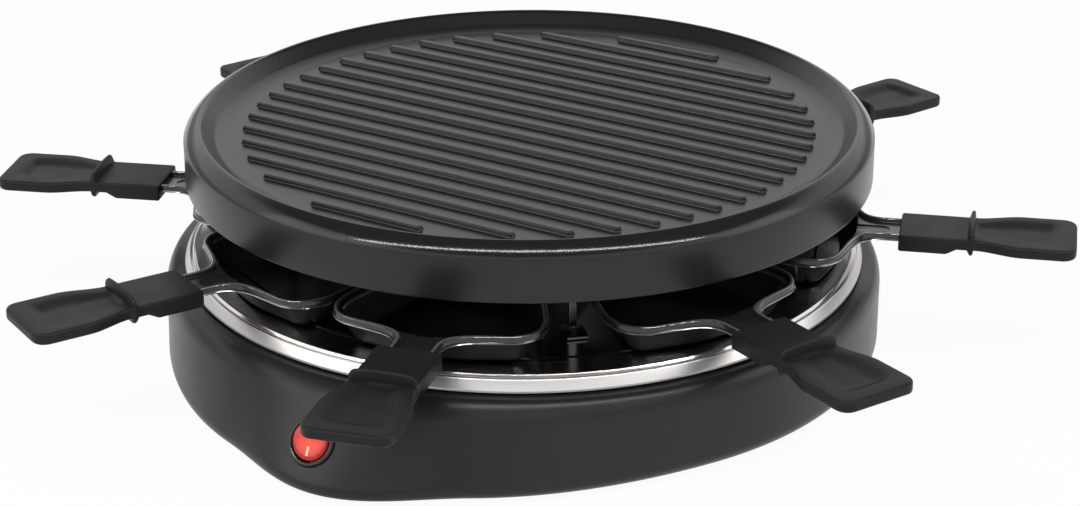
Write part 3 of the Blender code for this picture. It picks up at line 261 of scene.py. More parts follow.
def plastic(name, dark, light, grain, depth, low, high, **constants):
    """Moulded plastic: a spark-eroded grain, faint flow marks and hand-polished patches."""
    f = Finish(name, **constants)
    cloud = f.noise(0.035, 3.0)
    fine = f.noise(grain, 1.0, 4.0)
    rub = f.ramp(f.noise(0.011, 4.0, 9.0), (0.35, 0.0), (0.75, 1.0))
    colour = f.blend(cloud * 0.6 + fine * 0.4, dark, light)
    return f.dress(colour, low + (high - low) * (0.55 * fine + 0.45 * rub), fine, depth)


# Grey of bare metal, also the colour of the painted highlight lines on the pans' rims
BARE_METAL_AND_HIGHLIGHT = (0.42, 0.42, 0.43)


def coating(name, dark, light, low, high, depth, wear_and_highlight, bare_and_highlight, **constants):
    """A sprayed non-stick coat: fine specks over slightly wavy metal, smoother on its edges from wear, and
    where asked given a light metallic grey there that is partly wear and partly a painted highlight.
    """
    f = Finish(name, **constants)
    cloud = f.noise(0.050, 3.0)
    speck = f.noise(0.0006, 1.0, 3.0)
    peel = f.noise(0.0025, 2.0, 7.0)
    rubbed_and_highlight = wear_and_highlight(f, peel)
    colour = f.blend(cloud * 0.5 + speck * 0.5, dark, light)
    # Painted highlight where a share is given: the masked edges turn lighter and metallic, partly for wear
    if bare_and_highlight:
        colour = f.blend(rubbed_and_highlight * bare_and_highlight, colour, BARE_METAL_AND_HIGHLIGHT)
        f.put("Metallic", rubbed_and_highlight * bare_and_highlight)
    roughness = (low + (high - low) * (cloud * 0.4 + peel * 0.6)) * (1.0 - rubbed_and_highlight * 0.55)
    return f.dress(colour, roughness, speck * 0.45 + peel * 0.55, depth)


def plate_wear(f, uneven):
    """The plate's round crest, made smoother by cleaning; on the plate this mask changes only roughness."""
    radius = f.radius() + uneven * 0.0006
    return radius.above(PLATE_RADIUS - CREST_WIDTH - 0.0016) * radius.below(PLATE_RADIUS - 0.0002)


def pan_wear_and_highlight(f, uneven):
    """The crown of the pan's rolled bead and the foot of its flange: coat thinned by wear there, and the two
    lines that get a painted highlight.
    """
    level = f.height() + uneven * 0.0003
    foot = level.above(PAN_RIM - 0.0032) * level.below(PAN_RIM - 0.0026)
    return foot + level.above(PAN_RIM - 0.00015)


def spun_steel(name, centre):
    """Bright pressed sheet: fine turning lines round its middle, faint heat marks and a satin outer band."""
    f = Finish(name, Metallic=1.0)
    radius = f.radius(centre)
    lines = {"W": radius, "Scale": 2600.0, "Detail": 2.0}
    ring = f.node("ShaderNodeTexNoise", lines, noise_dimensions="1D")
    stain = f.ramp(f.noise(0.030, 4.0), (0.40, 0.0), (0.80, 1.0))
    colour = f.blend(stain * 0.5 + ring * 0.2, (0.72, 0.71, 0.70), (0.60, 0.57, 0.53))
    satin = radius.above(BAND_START) * radius.below(BAND_END)
    return f.dress(colour, 0.10 + 0.10 * ring + 0.08 * stain + 0.16 * satin, ring, 0.00001)


def strip_steel(name, dark, light, low, high):
    """Rolled strip with its grain along its length, dulled a little by heat."""
    f = Finish(name, Metallic=1.0)
    grain = f.noise((0.0004, 0.0004, 0.012), 2.0)
    stain = f.noise(0.009, 3.0, 5.0)
    colour = f.blend(stain * 0.7 + grain * 0.3, dark, light)
    return f.dress(colour, low + (high - low) * (0.5 * grain + 0.5 * stain), grain, 0.000012)


def chalky(name, dark, light, grain, rough, depth):
    """Unglazed ceramic, moulded nylon and sleeving: pores and a slightly uneven tone."""
    f = Finish(name)
    pore = f.ramp(f.noise(grain, 2.0), (0.30, 0.0), (0.55, 1.0))
    tone = f.noise(0.006, 3.0, 2.0)
    colour = f.blend(tone * 0.5 + pore * 0.5, dark, light)
    return f.dress(colour, rough - 0.10 * pore + 0.05 * tone, pore, depth)


FINISHES = {}


def add(maker, name, *values, **constants):
    """Keeps a finish under its name. The values are those that its maker asks for."""
    FINISHES[name] = maker(name, *values, **constants)


add(
    coating, "plate_coating", (0.009, 0.0078, 0.0084), (0.014, 0.0125, 0.0132), 0.25, 0.33, 0.00003,
    plate_wear, 0.0, Specular_IOR_Level=0.38,
)
# The pans' bead crown and flange foot get a painted highlight of light metallic grey through this mask
add(
    coating, "pan_coating", (0.010, 0.011, 0.012), (0.016, 0.017, 0.019), 0.16, 0.26, 0.00002,
    pan_wear_and_highlight, 0.75, IOR=1.6,
)
add(
    plastic, "handle_plastic", (0.009, 0.0086, 0.0090), (0.014, 0.0134, 0.0140), 0.0004, 0.00004, 0.40, 0.52,
    Specular_IOR_Level=0.2,
)
add(
    plastic, "shell_plastic", (0.009, 0.009, 0.0095), (0.014, 0.014, 0.0146), 0.00045, 0.00003, 0.30, 0.40,
    Specular_IOR_Level=0.34,
)
add(plastic, "cover_plastic", (0.022, 0.022, 0.023), (0.034, 0.034, 0.035), 0.0009, 0.00004, 0.50, 0.65)
add(spun_steel, "polished_steel", (BASE_SHIFT, 0.0))
add(strip_steel, "post_steel", (0.16, 0.155, 0.15), (0.11, 0.105, 0.10), 0.28, 0.40)
add(strip_steel, "heater_steel", (0.17, 0.155, 0.145), (0.10, 0.085, 0.078), 0.38, 0.55)
add(chalky, "ceramic", (0.70, 0.67, 0.60), (0.82, 0.80, 0.74), 0.0009, 0.55, 0.00006)
add(plastic, "rubber", (0.020, 0.020, 0.020), (0.035, 0.035, 0.034), 0.0007, 0.00006, 0.70, 0.85)
add(strip_steel, "screw_steel", (0.58, 0.58, 0.57), (0.46, 0.46, 0.44), 0.25, 0.38)
add(plastic, "bezel_plastic", (0.008, 0.008, 0.009), (0.013, 0.013, 0.014), 0.0006, 0.00001, 0.20, 0.32)
add(chalky, "lamp_glass", (0.85, 0.42, 0.22), (0.95, 0.60, 0.34), 0.0012, 0.20, 0.00001)
add(strip_steel, "brass", (0.78, 0.58, 0.27), (0.62, 0.44, 0.18), 0.25, 0.38)
add(chalky, "block_nylon", (0.74, 0.72, 0.66), (0.82, 0.80, 0.75), 0.0007, 0.50, 0.00003)
add(plastic, "cutout_case", (0.060, 0.030, 0.018), (0.095, 0.050, 0.030), 0.0005, 0.00003, 0.35, 0.50)
add(chalky, "lead_sleeving", (0.62, 0.58, 0.50), (0.74, 0.71, 0.64), 0.0004, 0.65, 0.00008)


# Shapes


def place_at(azimuth, radius, z=0.0):
    angle = radians(azimuth)
    return Vector((radius * sin(angle), radius * cos(angle), z))


def turned_to(azimuth):
    """The turn that carries +Y to this azimuth."""
    return Matrix.Rotation(-radians(azimuth), 4, "Z")


def arc(centre, radius, start, end, steps):
    """Points round a centre in a plane, from one angle to another, in degrees."""
    turn = [radians(start + (end - start) * i / steps) for i in range(steps + 1)]
    return [(centre[0] + radius * cos(t), centre[1] + radius * sin(t)) for t in turn]


def smoothed(value, start=0.0, end=1.0):
    """0 up to the start, 1 from the end on, and a smooth rise between them."""
    share = min(max((value - start) / (end - start), 0.0), 1.0)
    return share * share * (3 - 2 * share)


def lifted(points, z):
    """The points of a plane at this height."""
    return [(x, y, z) for x, y in points]


def mm(*rows):
    """Rows of sizes in millimetres, turned into metres."""
    return [tuple(size / 1000 for size in row) for row in rows]


def moved(x, y, z):
    return Matrix.Translation((x, y, z))


def mesh_from(bm, name, outward=True, angle=SHARP_ANGLE):
    """The finished mesh, its faces turned outwards and its edges sharp only where they really are."""
    bmesh.ops.remove_doubles(bm, verts=bm.verts, dist=MERGE_DISTANCE)
    if outward:
        bmesh.ops.recalc_face_normals(bm, faces=bm.faces)
    mesh = bpy.data.meshes.new(name)
    bm.to_mesh(mesh)
    bm.free()
    return shaded(mesh, angle)


def shaded(mesh, angle=SHARP_ANGLE):
    mesh.shade_smooth()
    mesh.set_sharp_from_angle(angle=radians(angle))
    return mesh


def skin(bm, rings, closed=False, caps=(True, True)):
    """Adds faces between rings of equally many points, and a cap on each end of an open row of rings."""
    rows = [[bm.verts.new(point) for point in ring] for ring in rings]
    count = len(rows[0])
    pairs = list(zip(rows, rows[1:]))
    if closed:
        pairs.append((rows[-1], rows[0]))
    for lower, upper in pairs:
        for i in range(count):
            j = (i + 1) % count
            bm.faces.new((lower[i], lower[j], upper[j], upper[i]))
    if not closed and caps[0]:
        bm.faces.new(rows[0][::-1])
    if not closed and caps[1]:
        bm.faces.new(rows[-1])
    return rows


def loft(rings, name, closed=False, angle=SHARP_ANGLE, caps=(True, True)):
    """A skin over rings of equally many points. A closed one joins its last ring to its first."""
    bm = bmesh.new()
    skin(bm, rings, closed, caps)
    return mesh_from(bm, name, angle=angle)


def turned(name, profile, steps):
    """A turned part: its section runs from axis to axis, or round in a loop clear of the axis."""
    on_axis = profile[0][0] == 0.0
    inner = profile[1:-1] if on_axis else profile
    rings = []
    for radius, z in inner:
        turn = [2 * pi * i / steps for i in range(steps)]
        rings.append([(radius * cos(t), radius * sin(t), z) for t in turn])
    if not on_axis:
        return loft(rings, name, closed=True)
    bm = bmesh.new()
    rows = skin(bm, rings, caps=(False, False))
    for row, z in ((rows[0], profile[0][1]), (rows[-1], profile[-1][1])):
        pole = bm.verts.new((0.0, 0.0, z))
        for i in range(steps):
            bm.faces.new((row[i], row[(i + 1) % steps], pole))
    return mesh_from(bm, name)


def corner_sides(before, corner, after):
    """The directions from a corner to its neighbours, and half the angle between them."""
    towards, away = (before - corner).normalized(), (after - corner).normalized()
    return towards, away, towards.angle(away) / 2


def eased(corner, towards, away, setback, steps):
    """Points of a curve that cuts a corner this far from it on both sides."""
    a, b = corner + towards * setback, corner + away * setback
    shares = [i / steps for i in range(steps + 1)]
    return [a * (1 - t) ** 2 + corner * 2 * t * (1 - t) + b * t**2 for t in shares]


def rounded(points, radius):
    """A section with its corners rounded, or kept where a corner's own radius is 0."""
    out = []
    for i, point in enumerate(points):
        corner = Vector(point[:2])
        own = point[2] if len(point) > 2 else radius
        if own == 0.0 or i in (0, len(points) - 1):
            out.append(tuple(corner))
            continue
        before, after = Vector(points[i - 1][:2]), Vector(points[i + 1][:2])
        towards, away, half = corner_sides(before, corner, after)
        if half > radians(89):
            out.append(tuple(corner))
            continue
        setback = min(own / tan(half), (before - corner).length * 0.49, (after - corner).length * 0.49)
        out += [tuple(place) for place in eased(corner, towards, away, setback, 4)]
    return out


def evaluated(obj):
    """A plain mesh of the object with its modifiers worked out. The object goes."""
    bpy.context.view_layer.update()
    graph = bpy.context.evaluated_depsgraph_get()
    mesh = bpy.data.meshes.new_from_object(obj.evaluated_get(graph))
    mesh.name = obj.name
    bpy.data.objects.remove(obj)
    return mesh


def linked(name, mesh):
    obj = bpy.data.objects.new(name, mesh)
    bpy.context.scene.collection.objects.link(obj)
    return obj


def sheeted(mesh, thickness):
    """The surface given the thickness of its sheet, on the side away from its normals."""
    obj = linked(mesh.name, mesh)
    sheet = obj.modifiers.new("sheet", "SOLIDIFY")
    sheet.thickness = thickness
    sheet.offset = -1.0
    return shaded(evaluated(obj))


def cut(mesh, *cutters):
    """The mesh with these solids cut out of it."""
    obj = linked(mesh.name, mesh)
    tools = []
    for cutter in cutters:
        tools.append(linked("cutter", cutter))
        hole = obj.modifiers.new("hole", "BOOLEAN")
        hole.operation = "DIFFERENCE"
        hole.solver = "EXACT"
        hole.object = tools[-1]
    result = evaluated(obj)
    for tool in tools:
        bpy.data.objects.remove(tool)
    return shaded(result)


def show(name, mesh, body, finish, *nodes, place=Matrix()):
    """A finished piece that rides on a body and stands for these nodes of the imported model."""
    mesh.transform(place)
    obj = linked(name, mesh)
    obj.data.materials.clear()
    obj.data.materials.append(FINISHES[finish])
    if nodes:
        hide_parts(*nodes)
    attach(obj, body)


class Pattern(Nodes):
    """A geometry node tree with named sizes, which repeats a piece or runs a section along a line."""

    KINDS = {float: "NodeSocketFloat", int: "NodeSocketInt", bpy.types.Material: "NodeSocketMaterial"}

    def __init__(self, name, **sizes):
        super().__init__(bpy.data.node_groups.new(name, "GeometryNodeTree"))
        face = self.tree.interface
        face.new_socket("Geometry", in_out="INPUT", socket_type="NodeSocketGeometry")
        face.new_socket("Geometry", in_out="OUTPUT", socket_type="NodeSocketGeometry")
        self.sizes = sizes
        self.keys = {}
        for label, size in {**sizes, "Material": None}.items():
            kind = self.KINDS[bpy.types.Material if size is None else type(size)]
            self.keys[label] = face.new_socket(label, in_out="INPUT", socket_type=kind).identifier
        self.entry = self.tree.nodes.new("NodeGroupInput")

    def given(self, label="Geometry"):
        return Value(self, self.entry.outputs[label])

    def close(self, geometry):
        """Makes the copies real, gives them their material and ends the tree."""
        real = self.node("GeometryNodeRealizeInstances", {0: geometry})
        inputs = {"Geometry": real, "Material": self.given("Material")}
        dressed = self.node("GeometryNodeSetMaterial", inputs)
        self.feed(self.tree.nodes.new("NodeGroupOutput").inputs[0], dressed)

    def applied(self, mesh, finish, **changed):
        """The plain mesh that the tree makes of this one."""
        obj = linked(mesh.name, mesh)
        modifier = obj.modifiers.new("pattern", "NODES")
        modifier.node_group = self.tree
        for label, size in {**self.sizes, **changed, "Material": FINISHES[finish]}.items():
            modifier[self.keys[label]] = size
        return evaluated(obj)


def ring_pattern():
    """Copies of a piece spaced evenly round an upright axis, the first at its own azimuth."""
    p = Pattern("around_the_axis", Count=4, First=0.0)
    points = p.node("GeometryNodePoints", {"Count": p.given("Count")})
    index = p.node("GeometryNodeInputIndex")
    turn = -1.0 * (p.given("First") + 360.0 / p.given("Count") * index)
    angle = turn.math("RADIANS", turn)
    spin = p.node("ShaderNodeCombineXYZ", {"Z": angle})
    inputs = {"Points": points, "Instance": p.given(), "Rotation": spin}
    p.close(p.node("GeometryNodeInstanceOnPoints", inputs))
    return p


def bar_pattern():
    """Parallel bars side by side whose ends all lie on one circle, from one short bar."""
    p = Pattern(
        "bars_in_a_circle", Count=RIB_COUNT, Pitch=RIB_PITCH, Reach=RIB_CIRCLE, End=RIB_HALF_WIDTH,
        Half=RIB_HALF_LENGTH,
    )
    points = p.node("GeometryNodePoints", {"Count": p.given("Count")})
    index = p.node("GeometryNodeInputIndex")
    offset = (index - (p.given("Count") - 1.0) * 0.5) * p.given("Pitch")
    half = (p.given("Reach") * p.given("Reach") - offset * offset) ** 0.5 - p.given("End")
    place = p.node("ShaderNodeCombineXYZ", {"X": offset})
    spread = p.node("GeometryNodeSetPosition", {"Geometry": points, "Position": place})
    inputs = {"Geometry": spread, "Name": "half", "Value": half}
    noted = p.node("GeometryNodeStoreNamedAttribute", inputs, data_type="FLOAT", domain="POINT")
    copies = p.node("GeometryNodeInstanceOnPoints", {"Points": noted, "Instance": p.given()})
    real = p.node("GeometryNodeRealizeInstances", {0: copies})
    where = p.node("GeometryNodeInputPosition")
    along = p.part(where, "Y")
    kept = p.node("GeometryNodeInputNamedAttribute", {"Name": "half"}, data_type="FLOAT")
    grown = along.math("SIGN", along) * (kept - p.given("Half"))
    move = p.node("ShaderNodeCombineXYZ", {"Y": grown})
    p.close(p.node("GeometryNodeSetPosition", {"Geometry": real, "Offset": move}))
    return p


def tube_pattern():
    """A section run along a line of points."""
    p = Pattern("round_bar", Radius=0.001, Sides=16)
    line = p.node("GeometryNodeMeshToCurve", {0: p.given()})
    sizes = {"Resolution": p.given("Sides"), "Radius": p.given("Radius")}
    section = p.node("GeometryNodeCurvePrimitiveCircle", sizes)
    bar = p.node("GeometryNodeCurveToMesh", {"Curve": line, "Profile Curve": section, "Fill Caps": True})
    p.close(bar)
    return p


AROUND = ring_pattern()
BARS = bar_pattern()
TUBE = tube_pattern()


def four_around(name, mesh, circle, azimuth, finish, node):
    """Four copies of a piece on a circle round the base's axis, for four numbered nodes."""
    mesh.transform(moved(0.0, circle, 0.0))
    copies = shaded(AROUND.applied(mesh, finish, Count=4, First=azimuth))
    show(name, copies, "base", finish, *[f"{node}_{i}" for i in range(1, 5)], place=BASE_PLACE)


def bar_along(name, points, radius, finish, sides):
    """A round bar along these points."""
    mesh = bpy.data.meshes.new(name)
    mesh.from_pydata([tuple(point) for point in points], [(i, i + 1) for i in range(len(points) - 1)], [])
    return shaded(TUBE.applied(mesh, finish, Radius=radius, Sides=sides))


# Grill plate


def bank_slope(share):
    """How steep the plate's bank is, from its flat at 0 to its crest at 1, as a share of its steepest."""
    gentle = 0.30 * smoothed(share, 0.0, 0.5)
    steep = 0.70 * smoothed(share, 0.5, 0.62)
    return (gentle + steep) * (1 - smoothed(share, 0.88, 1.0))


CREST_POWER = 1.4


def plate_section():
    """The flat runs up a long gentle curve to a bank, over a round crest and down a plain wall."""
    crest_radius = PLATE_RADIUS - CREST_WIDTH
    inner = PLATE_RADIUS - 0.0035
    edge = 0.0012
    shoulder = PLATE_TOP - CREST_HEIGHT
    bank_start = PLATE_RADIUS - 0.0225
    section = [(0.0, PLATE_FLAT), (0.040, PLATE_FLAT), (0.085, PLATE_FLAT), (bank_start - 0.001, PLATE_FLAT)]
    steps = 40
    heights = [0.0]
    for i in range(steps):
        heights.append(heights[-1] + bank_slope((i + 0.5) / steps))
    for i, height in enumerate(heights):
        rise = (PLATE_TOP - PLATE_FLAT) * height / heights[-1]
        section.append((bank_start + (crest_radius - bank_start) * i / steps, PLATE_FLAT + rise))
    for i in range(1, 17):
        angle = radians(90 * i / 16)
        across, up = [max(side, 0.0) ** CREST_POWER for side in (sin(angle), cos(angle))]
        section.append((crest_radius + CREST_WIDTH * across, shoulder + CREST_HEIGHT * up))
    section += [(PLATE_RADIUS, shoulder - 0.006), (PLATE_RADIUS, PLATE_EDGE + edge)]
    section += arc((PLATE_RADIUS - edge, PLATE_EDGE + edge), edge, -15, -90, 5)
    section += [(inner + 0.0004, PLATE_EDGE), (inner, PLATE_EDGE + 0.0004), (inner, PLATE_UNDERSIDE + 0.003)]
    section += [(inner - 0.005, PLATE_UNDERSIDE), (0.0, PLATE_UNDERSIDE)]
    return section


def rib_mesh():
    """One short bar: nearly upright sides that flare into the plate at the foot, and round ends."""
    section = [(RIB_HALF_WIDTH, -0.0003), *mm(
        (2.7, 0.03), (2.5, 0.1), (2.3, 0.3), (2.17, 0.6), (2, 1.4), (1.9, 1.68), (1.72, 1.83),
        (1.45, 1.9), (0.9, 1.93), (0.4, 1.94))]
    rings = []
    for radius, z in section:
        right = arc((0.0, RIB_HALF_LENGTH), radius, 0, 180, 14)
        left = arc((0.0, -RIB_HALF_LENGTH), radius, 180, 360, 14)
        rings.append(lifted(right + left, PLATE_FLAT + z))
    return loft(rings, "rib", caps=(False, True), angle=50)


def make_plate():
    plate = turned("grill_plate_cast", plate_section(), 240)
    show("grill_plate_cast", plate, "plate", "plate_coating", "grill_plate")
    ribs = BARS.applied(rib_mesh(), "plate_coating")
    ribs.transform(turned_to(RIB_AZIMUTH))
    show("plate_ribs", shaded(ribs, 50), "plate", "plate_coating")


# Base


def bump(share):
    return 0.5 + 0.5 * cos(pi * min(abs(share), 1.0))


def turn_between(azimuth, other):
    return (azimuth - other + 180) % 360 - 180


def lobe(azimuth, z):
    """How far the base stands out beyond its round form: nothing at its top edge, most at its foot."""
    growth = max((SHELL_TOP - z) / (SHELL_TOP - SHELL_LIFT), 0.0)
    parts = [reach * bump(turn_between(azimuth, middle) / half) for reach, middle, half in (LOBE, NOSE)]
    return growth * sum(parts)


def base_ring(radius, z, steps=288, lobe_z=None):
    """A level ring of the base, with the lobe of its own height or of another one."""
    azimuths = [360 * i / steps for i in range(steps)]
    follow = z if lobe_z is None else lobe_z
    return [place_at(azimuth, radius + lobe(azimuth, follow), z) for azimuth in azimuths]


def shell_section():
    """Up the wall from a rounded foot, over an oval shoulder to the ledge, and down again inside."""
    foot, across, up = 0.0065, 0.0048, 0.0085
    edge, shoulder = SHELL_RADIUS - across, SHELL_TOP - up
    ledge = edge - 0.0148
    under = SHELL_TOP - SHELL_WALL
    section = arc((SHELL_RADIUS - foot, SHELL_LIFT + foot), foot, -90, 0, 10)
    section += [(SHELL_RADIUS, SHELL_LIFT + foot + 0.024 * share) for share in (0.2, 0.4, 0.6, 0.8)]
    for i in range(13):
        turn = radians(90 * i / 12)
        section.append((edge + across * cos(turn), shoulder + up * sin(turn)))
    section += [(ledge + 0.0005, SHELL_TOP), (ledge, SHELL_TOP - 0.0005), (ledge, under)]
    section += [(edge - SHELL_WALL, under), (SHELL_RADIUS - SHELL_WALL, shoulder)]
    section += [(SHELL_RADIUS - SHELL_WALL, 0.011), (SHELL_LIP_RADIUS, SHELL_LIP_TOP)]
    section += [(SHELL_LIP_RADIUS, SHELL_LIFT + 0.0004), (SHELL_LIP_RADIUS + 0.0004, SHELL_LIFT)]
    return section


def switch_matrix():
    """The switch's own frame on the nose: +Z out of the wall, +X level, origin on the wall's face."""
    radius = SHELL_RADIUS + lobe(SWITCH_AZIMUTH, SWITCH_HEIGHT)
    above = lobe(SWITCH_AZIMUTH, SWITCH_HEIGHT + SHELL_WALL)
    below = lobe(SWITCH_AZIMUTH, SWITCH_HEIGHT - SHELL_WALL)
    slope = (above - below) / (2 * SHELL_WALL)
    outward = place_at(SWITCH_AZIMUTH, 1.0, -slope).normalized()
    level = place_at(SWITCH_AZIMUTH - 90, 1.0)
    turn = Matrix((level, outward.cross(level), outward)).transposed().to_4x4()
    return moved(*place_at(SWITCH_AZIMUTH, radius, SWITCH_HEIGHT)) @ turn


def gland_matrix():
    """The inlet's own frame: +Z out of the back wall."""
    return moved(*place_at(0.0, SHELL_RADIUS, INLET_HEIGHT)) @ Matrix.Rotation(-pi / 2, 4, "X")


def drum(radius, low, high, matrix):
    """A plain round cutter along its own +Z."""
    mesh = turned("drum", [(0.0, low), (radius, low), (radius, high), (0.0, high)], 64)
    mesh.transform(matrix)
    return mesh


def make_shell():
    shell = loft([base_ring(radius, z) for radius, z in shell_section()], "base_shell_moulded", closed=True)
    seat = drum(0.0107, -0.0016, 0.004, switch_matrix())
    hole = drum(0.0096, -0.016, 0.004, switch_matrix())
    inlet = drum(0.0063, -0.006, 0.004, gland_matrix())
    shell = cut(shell, seat, hole, inlet)
    show("base_shell_moulded", shell, "base", "shell_plastic", "base_shell", place=BASE_PLACE)


def make_tray():
    """The pressed tray: a shallow bead in its floor, a bevelled lip, a fine groove and the sloping band."""
    section = mm(
        (0, 0), (60, 0), (110, 0), (129, 0, 1), (130, -0.4, 0.6), (133, -0.4, 0.6), (134, 0, 1),
        (144, 0, 0.6), (144.6, 0.3, 0.4), (145.3, 0.3, 0.3), (146.1, -0.7, 0.2), (146.2, -2, 0.2),
        (146.8, -2, 0.2), (147.1, -0.7, 0.3), (149.6, -5, 0.5), (149.6, -5.7, 0))
    upper = rounded([(radius, TRAY_FLOOR + height, *own) for radius, height, *own in section], 0.0005)
    lower = [(radius, z - TRAY_SHEET) for radius, z in reversed(upper[:-3])]
    inside, foot = section[-1][0] - TRAY_SHEET, TRAY_FLOOR + section[-1][1]
    rim = [(inside, foot), (inside, foot + TRAY_SHEET)]
    tray = turned("reflector_tray_pressed", upper + rim + lower, 288)
    show("reflector_tray_pressed", tray, "base", "polished_steel", "reflector_tray", place=BASE_PLACE)


def make_underside():
    """Bottom cover with its vent slots, the screws in it and the rubber feet."""
    section = mm((148, 3), (148.5, 3.5), (148.5, 5.5))
    rings = [base_ring(radius, z, 192, SHELL_LIP_TOP) for radius, z in section]
    cover = loft(rings, "bottom_cover_moulded")
    slots = bmesh.new()
    for i in range(8):
        middle = (i - 3.5) * 0.0085
        outline = arc((0.0164, middle), 0.0016, -90, 90, 8) + arc((-0.0164, middle), 0.0016, 90, 270, 8)
        skin(slots, [lifted(outline, z) for z in (0.0, 0.009)])
    cover = cut(cover, mesh_from(slots, "vents"))
    show("bottom_cover_moulded", cover, "base", "cover_plastic", "bottom_cover", place=BASE_PLACE)

    foot = turned("foot", mm(
        (0, 2.7), (8.5, 2.7), (8.5, 0.8), (8.3, 0.3), (7.8, 0), (6.2, 0), (5.8, 0.4), (3.4, 0.4), (3, 0),
        (0, 0)), 48)
    four_around("rubber_feet", foot, FOOT_CIRCLE, COVER_AZIMUTH, "rubber", "foot")

    screw = turned("screw", mm(
        (0, 17), (0.9, 17), (1.7, 15.3), (1.7, 2.7), (3.4, 2.7), (3.4, 2.1), (3.1, 1.6), (2.4, 1.3),
        (0, 1.3)), 32)
    cross = bmesh.new()
    for wide, deep in ((0.0019, 0.00045), (0.00045, 0.0019)):
        size = Matrix.Diagonal((wide * 2, deep * 2, 0.0018, 1.0))
        bmesh.ops.create_cube(cross, size=1.0, matrix=moved(0.0, 0.0, 0.0011) @ size)
    screw = cut(screw, mesh_from(cross, "driver"))
    four_around("cover_screws", screw, COVER_SCREW_CIRCLE, COVER_AZIMUTH, "screw_steel", "cover_screw")


def make_posts():
    """Four bent strips: foot, upright, an arm hooked round the heater and a tab under the plate."""
    inner, outer = 0.1015, 0.1055
    arm_top = HEATER_HEIGHT - HEATER_TUBE_RADIUS - 0.0003
    hook_outer = HEATER_CIRCLE - HEATER_TUBE_RADIUS - 0.0003
    hook_inner = hook_outer - 0.0016
    top = PLATE_UNDERSIDE - 0.0003
    outline = [
        (inner, 0.0482), (outer, 0.0482), (outer, top), (0.0945, top), (0.0945, top - 0.0016),
        (inner, top - 0.0016), (inner, arm_top), (hook_outer, arm_top), (hook_outer, arm_top + 0.0045),
        (hook_inner, arm_top + 0.0045), (hook_inner, arm_top - 0.0016), (inner, arm_top - 0.0016),
    ]
    bm = bmesh.new()
    skin(bm, [[(x, y, z) for y, z in outline] for x in (-0.0015, 0.0015)])
    size = Matrix.Diagonal((0.009, 0.0135, 0.0012, 1.0))
    bmesh.ops.create_cube(bm, size=1.0, matrix=moved(0.0, outer + 0.0032, 0.0488) @ size)
    bmesh.ops.triangulate(bm, faces=[face for face in bm.faces if len(face.verts) > 4])
    post = linked("post", mesh_from(bm, "post"))
    edges = post.modifiers.new("edges", "BEVEL")
    edges.width = 0.0003
    edges.segments = 2
    four_around("support_posts", shaded(evaluated(post)), 0.0, POST_AZIMUTH, "post_steel", "support_post")
    rivet = turned("rivet", mm(
        (0, 50.7), (1, 50.65), (1.9, 50.3), (2.6, 49.7), (1.4, 49.7), (1.4, 46.8), (2.6, 46.8),
        (1.9, 46.1), (1, 45.8), (0, 45.8)), 32)
    four_around("post_rivets", rivet, POST_RIVET_CIRCLE, POST_AZIMUTH, "screw_steel", "post_rivet")


def bend(before, corner, after, radius):
    """Points of a bend in a bar."""
    towards, away, half = corner_sides(before, corner, after)
    return eased(corner, towards, away, radius / tan(half), 8)


def heater_path():
    """A ring open at one side, whose ends run in to the middle and down through the tray."""
    half = HEATER_LEG_OFFSET
    reach = sqrt(HEATER_CIRCLE**2 - half**2)
    foot = Vector((half, 0.0, 0.033))
    top = Vector((half, 0.0, HEATER_HEIGHT))
    out = Vector((half, reach, HEATER_HEIGHT))
    gap = 2 * degrees(atan2(half + 0.012, reach))
    azimuths = [gap / 2 + (360 - gap) * i / 120 for i in range(121)]
    ring = [place_at(azimuth, HEATER_CIRCLE, HEATER_HEIGHT) for azimuth in azimuths]
    path = [foot, *bend(foot, top, out, 0.012), *bend(top, out, ring[0], 0.006)]
    mirrored = [Vector((-point.x, point.y, point.z)) for point in path]
    return [turned_to(HEATER_GAP_AZIMUTH) @ point for point in [*path, *ring, *mirrored[::-1]]]


def make_heater():
    bar = bar_along("heating_element_tube", heater_path(), HEATER_TUBE_RADIUS, "heater_steel", 20)
    show("heating_element_tube", bar, "base", "heater_steel", "heating_element", place=BASE_PLACE)
    section = mm(
        (3.55, 50.4), (5.2, 50.4), (5.5, 50.1), (7.4, 49.2), (7.5, 48.9), (7.5, 48.2), (5.5, 48.2),
        (5.5, 39.6), (5.2, 39.4), (3.55, 39.4))
    for i, x in enumerate((HEATER_LEG_OFFSET, -HEATER_LEG_OFFSET), 1):
        name = f"ceramic_bush_{i}"
        place = BASE_PLACE @ moved(*turned_to(HEATER_GAP_AZIMUTH) @ Vector((x, 0.0, 0.0)))
        show(name, turned(name, section, 40), "base", "ceramic", f"heater_bush_{i}", place=place)


# Pans and their handles

DISH_INNER_END = 0.063
DISH_HALF_WIDTH = 0.0446
DISH_INNER_HALF_WIDTH = 0.0233
DISH_FRONT_END = 0.1505
DISH_FRONT_SLOPE = (DISH_FRONT_END - 0.1388) / DISH_HALF_WIDTH
STRAP_HALF_WIDTH = 0.0098
NECK_POINTS = 14
PAN_SHEET = 0.0009


def round_corner(before, corner, after, radius, steps):
    """Points of a true arc of this radius in the corner."""
    before, corner, after = Vector(before), Vector(corner), Vector(after)
    towards, away, half = corner_sides(before, corner, after)
    centre = corner + (towards + away).normalized() * (radius / sin(half))
    first = corner + towards * radius / tan(half) - centre
    last = corner + away * radius / tan(half) - centre
    sweep = first.angle(last)
    return [
        centre + first * (sin((1 - i / steps) * sweep) / sin(sweep))
        + last * (sin(i / steps * sweep) / sin(sweep))
        for i in range(steps + 1)
    ]


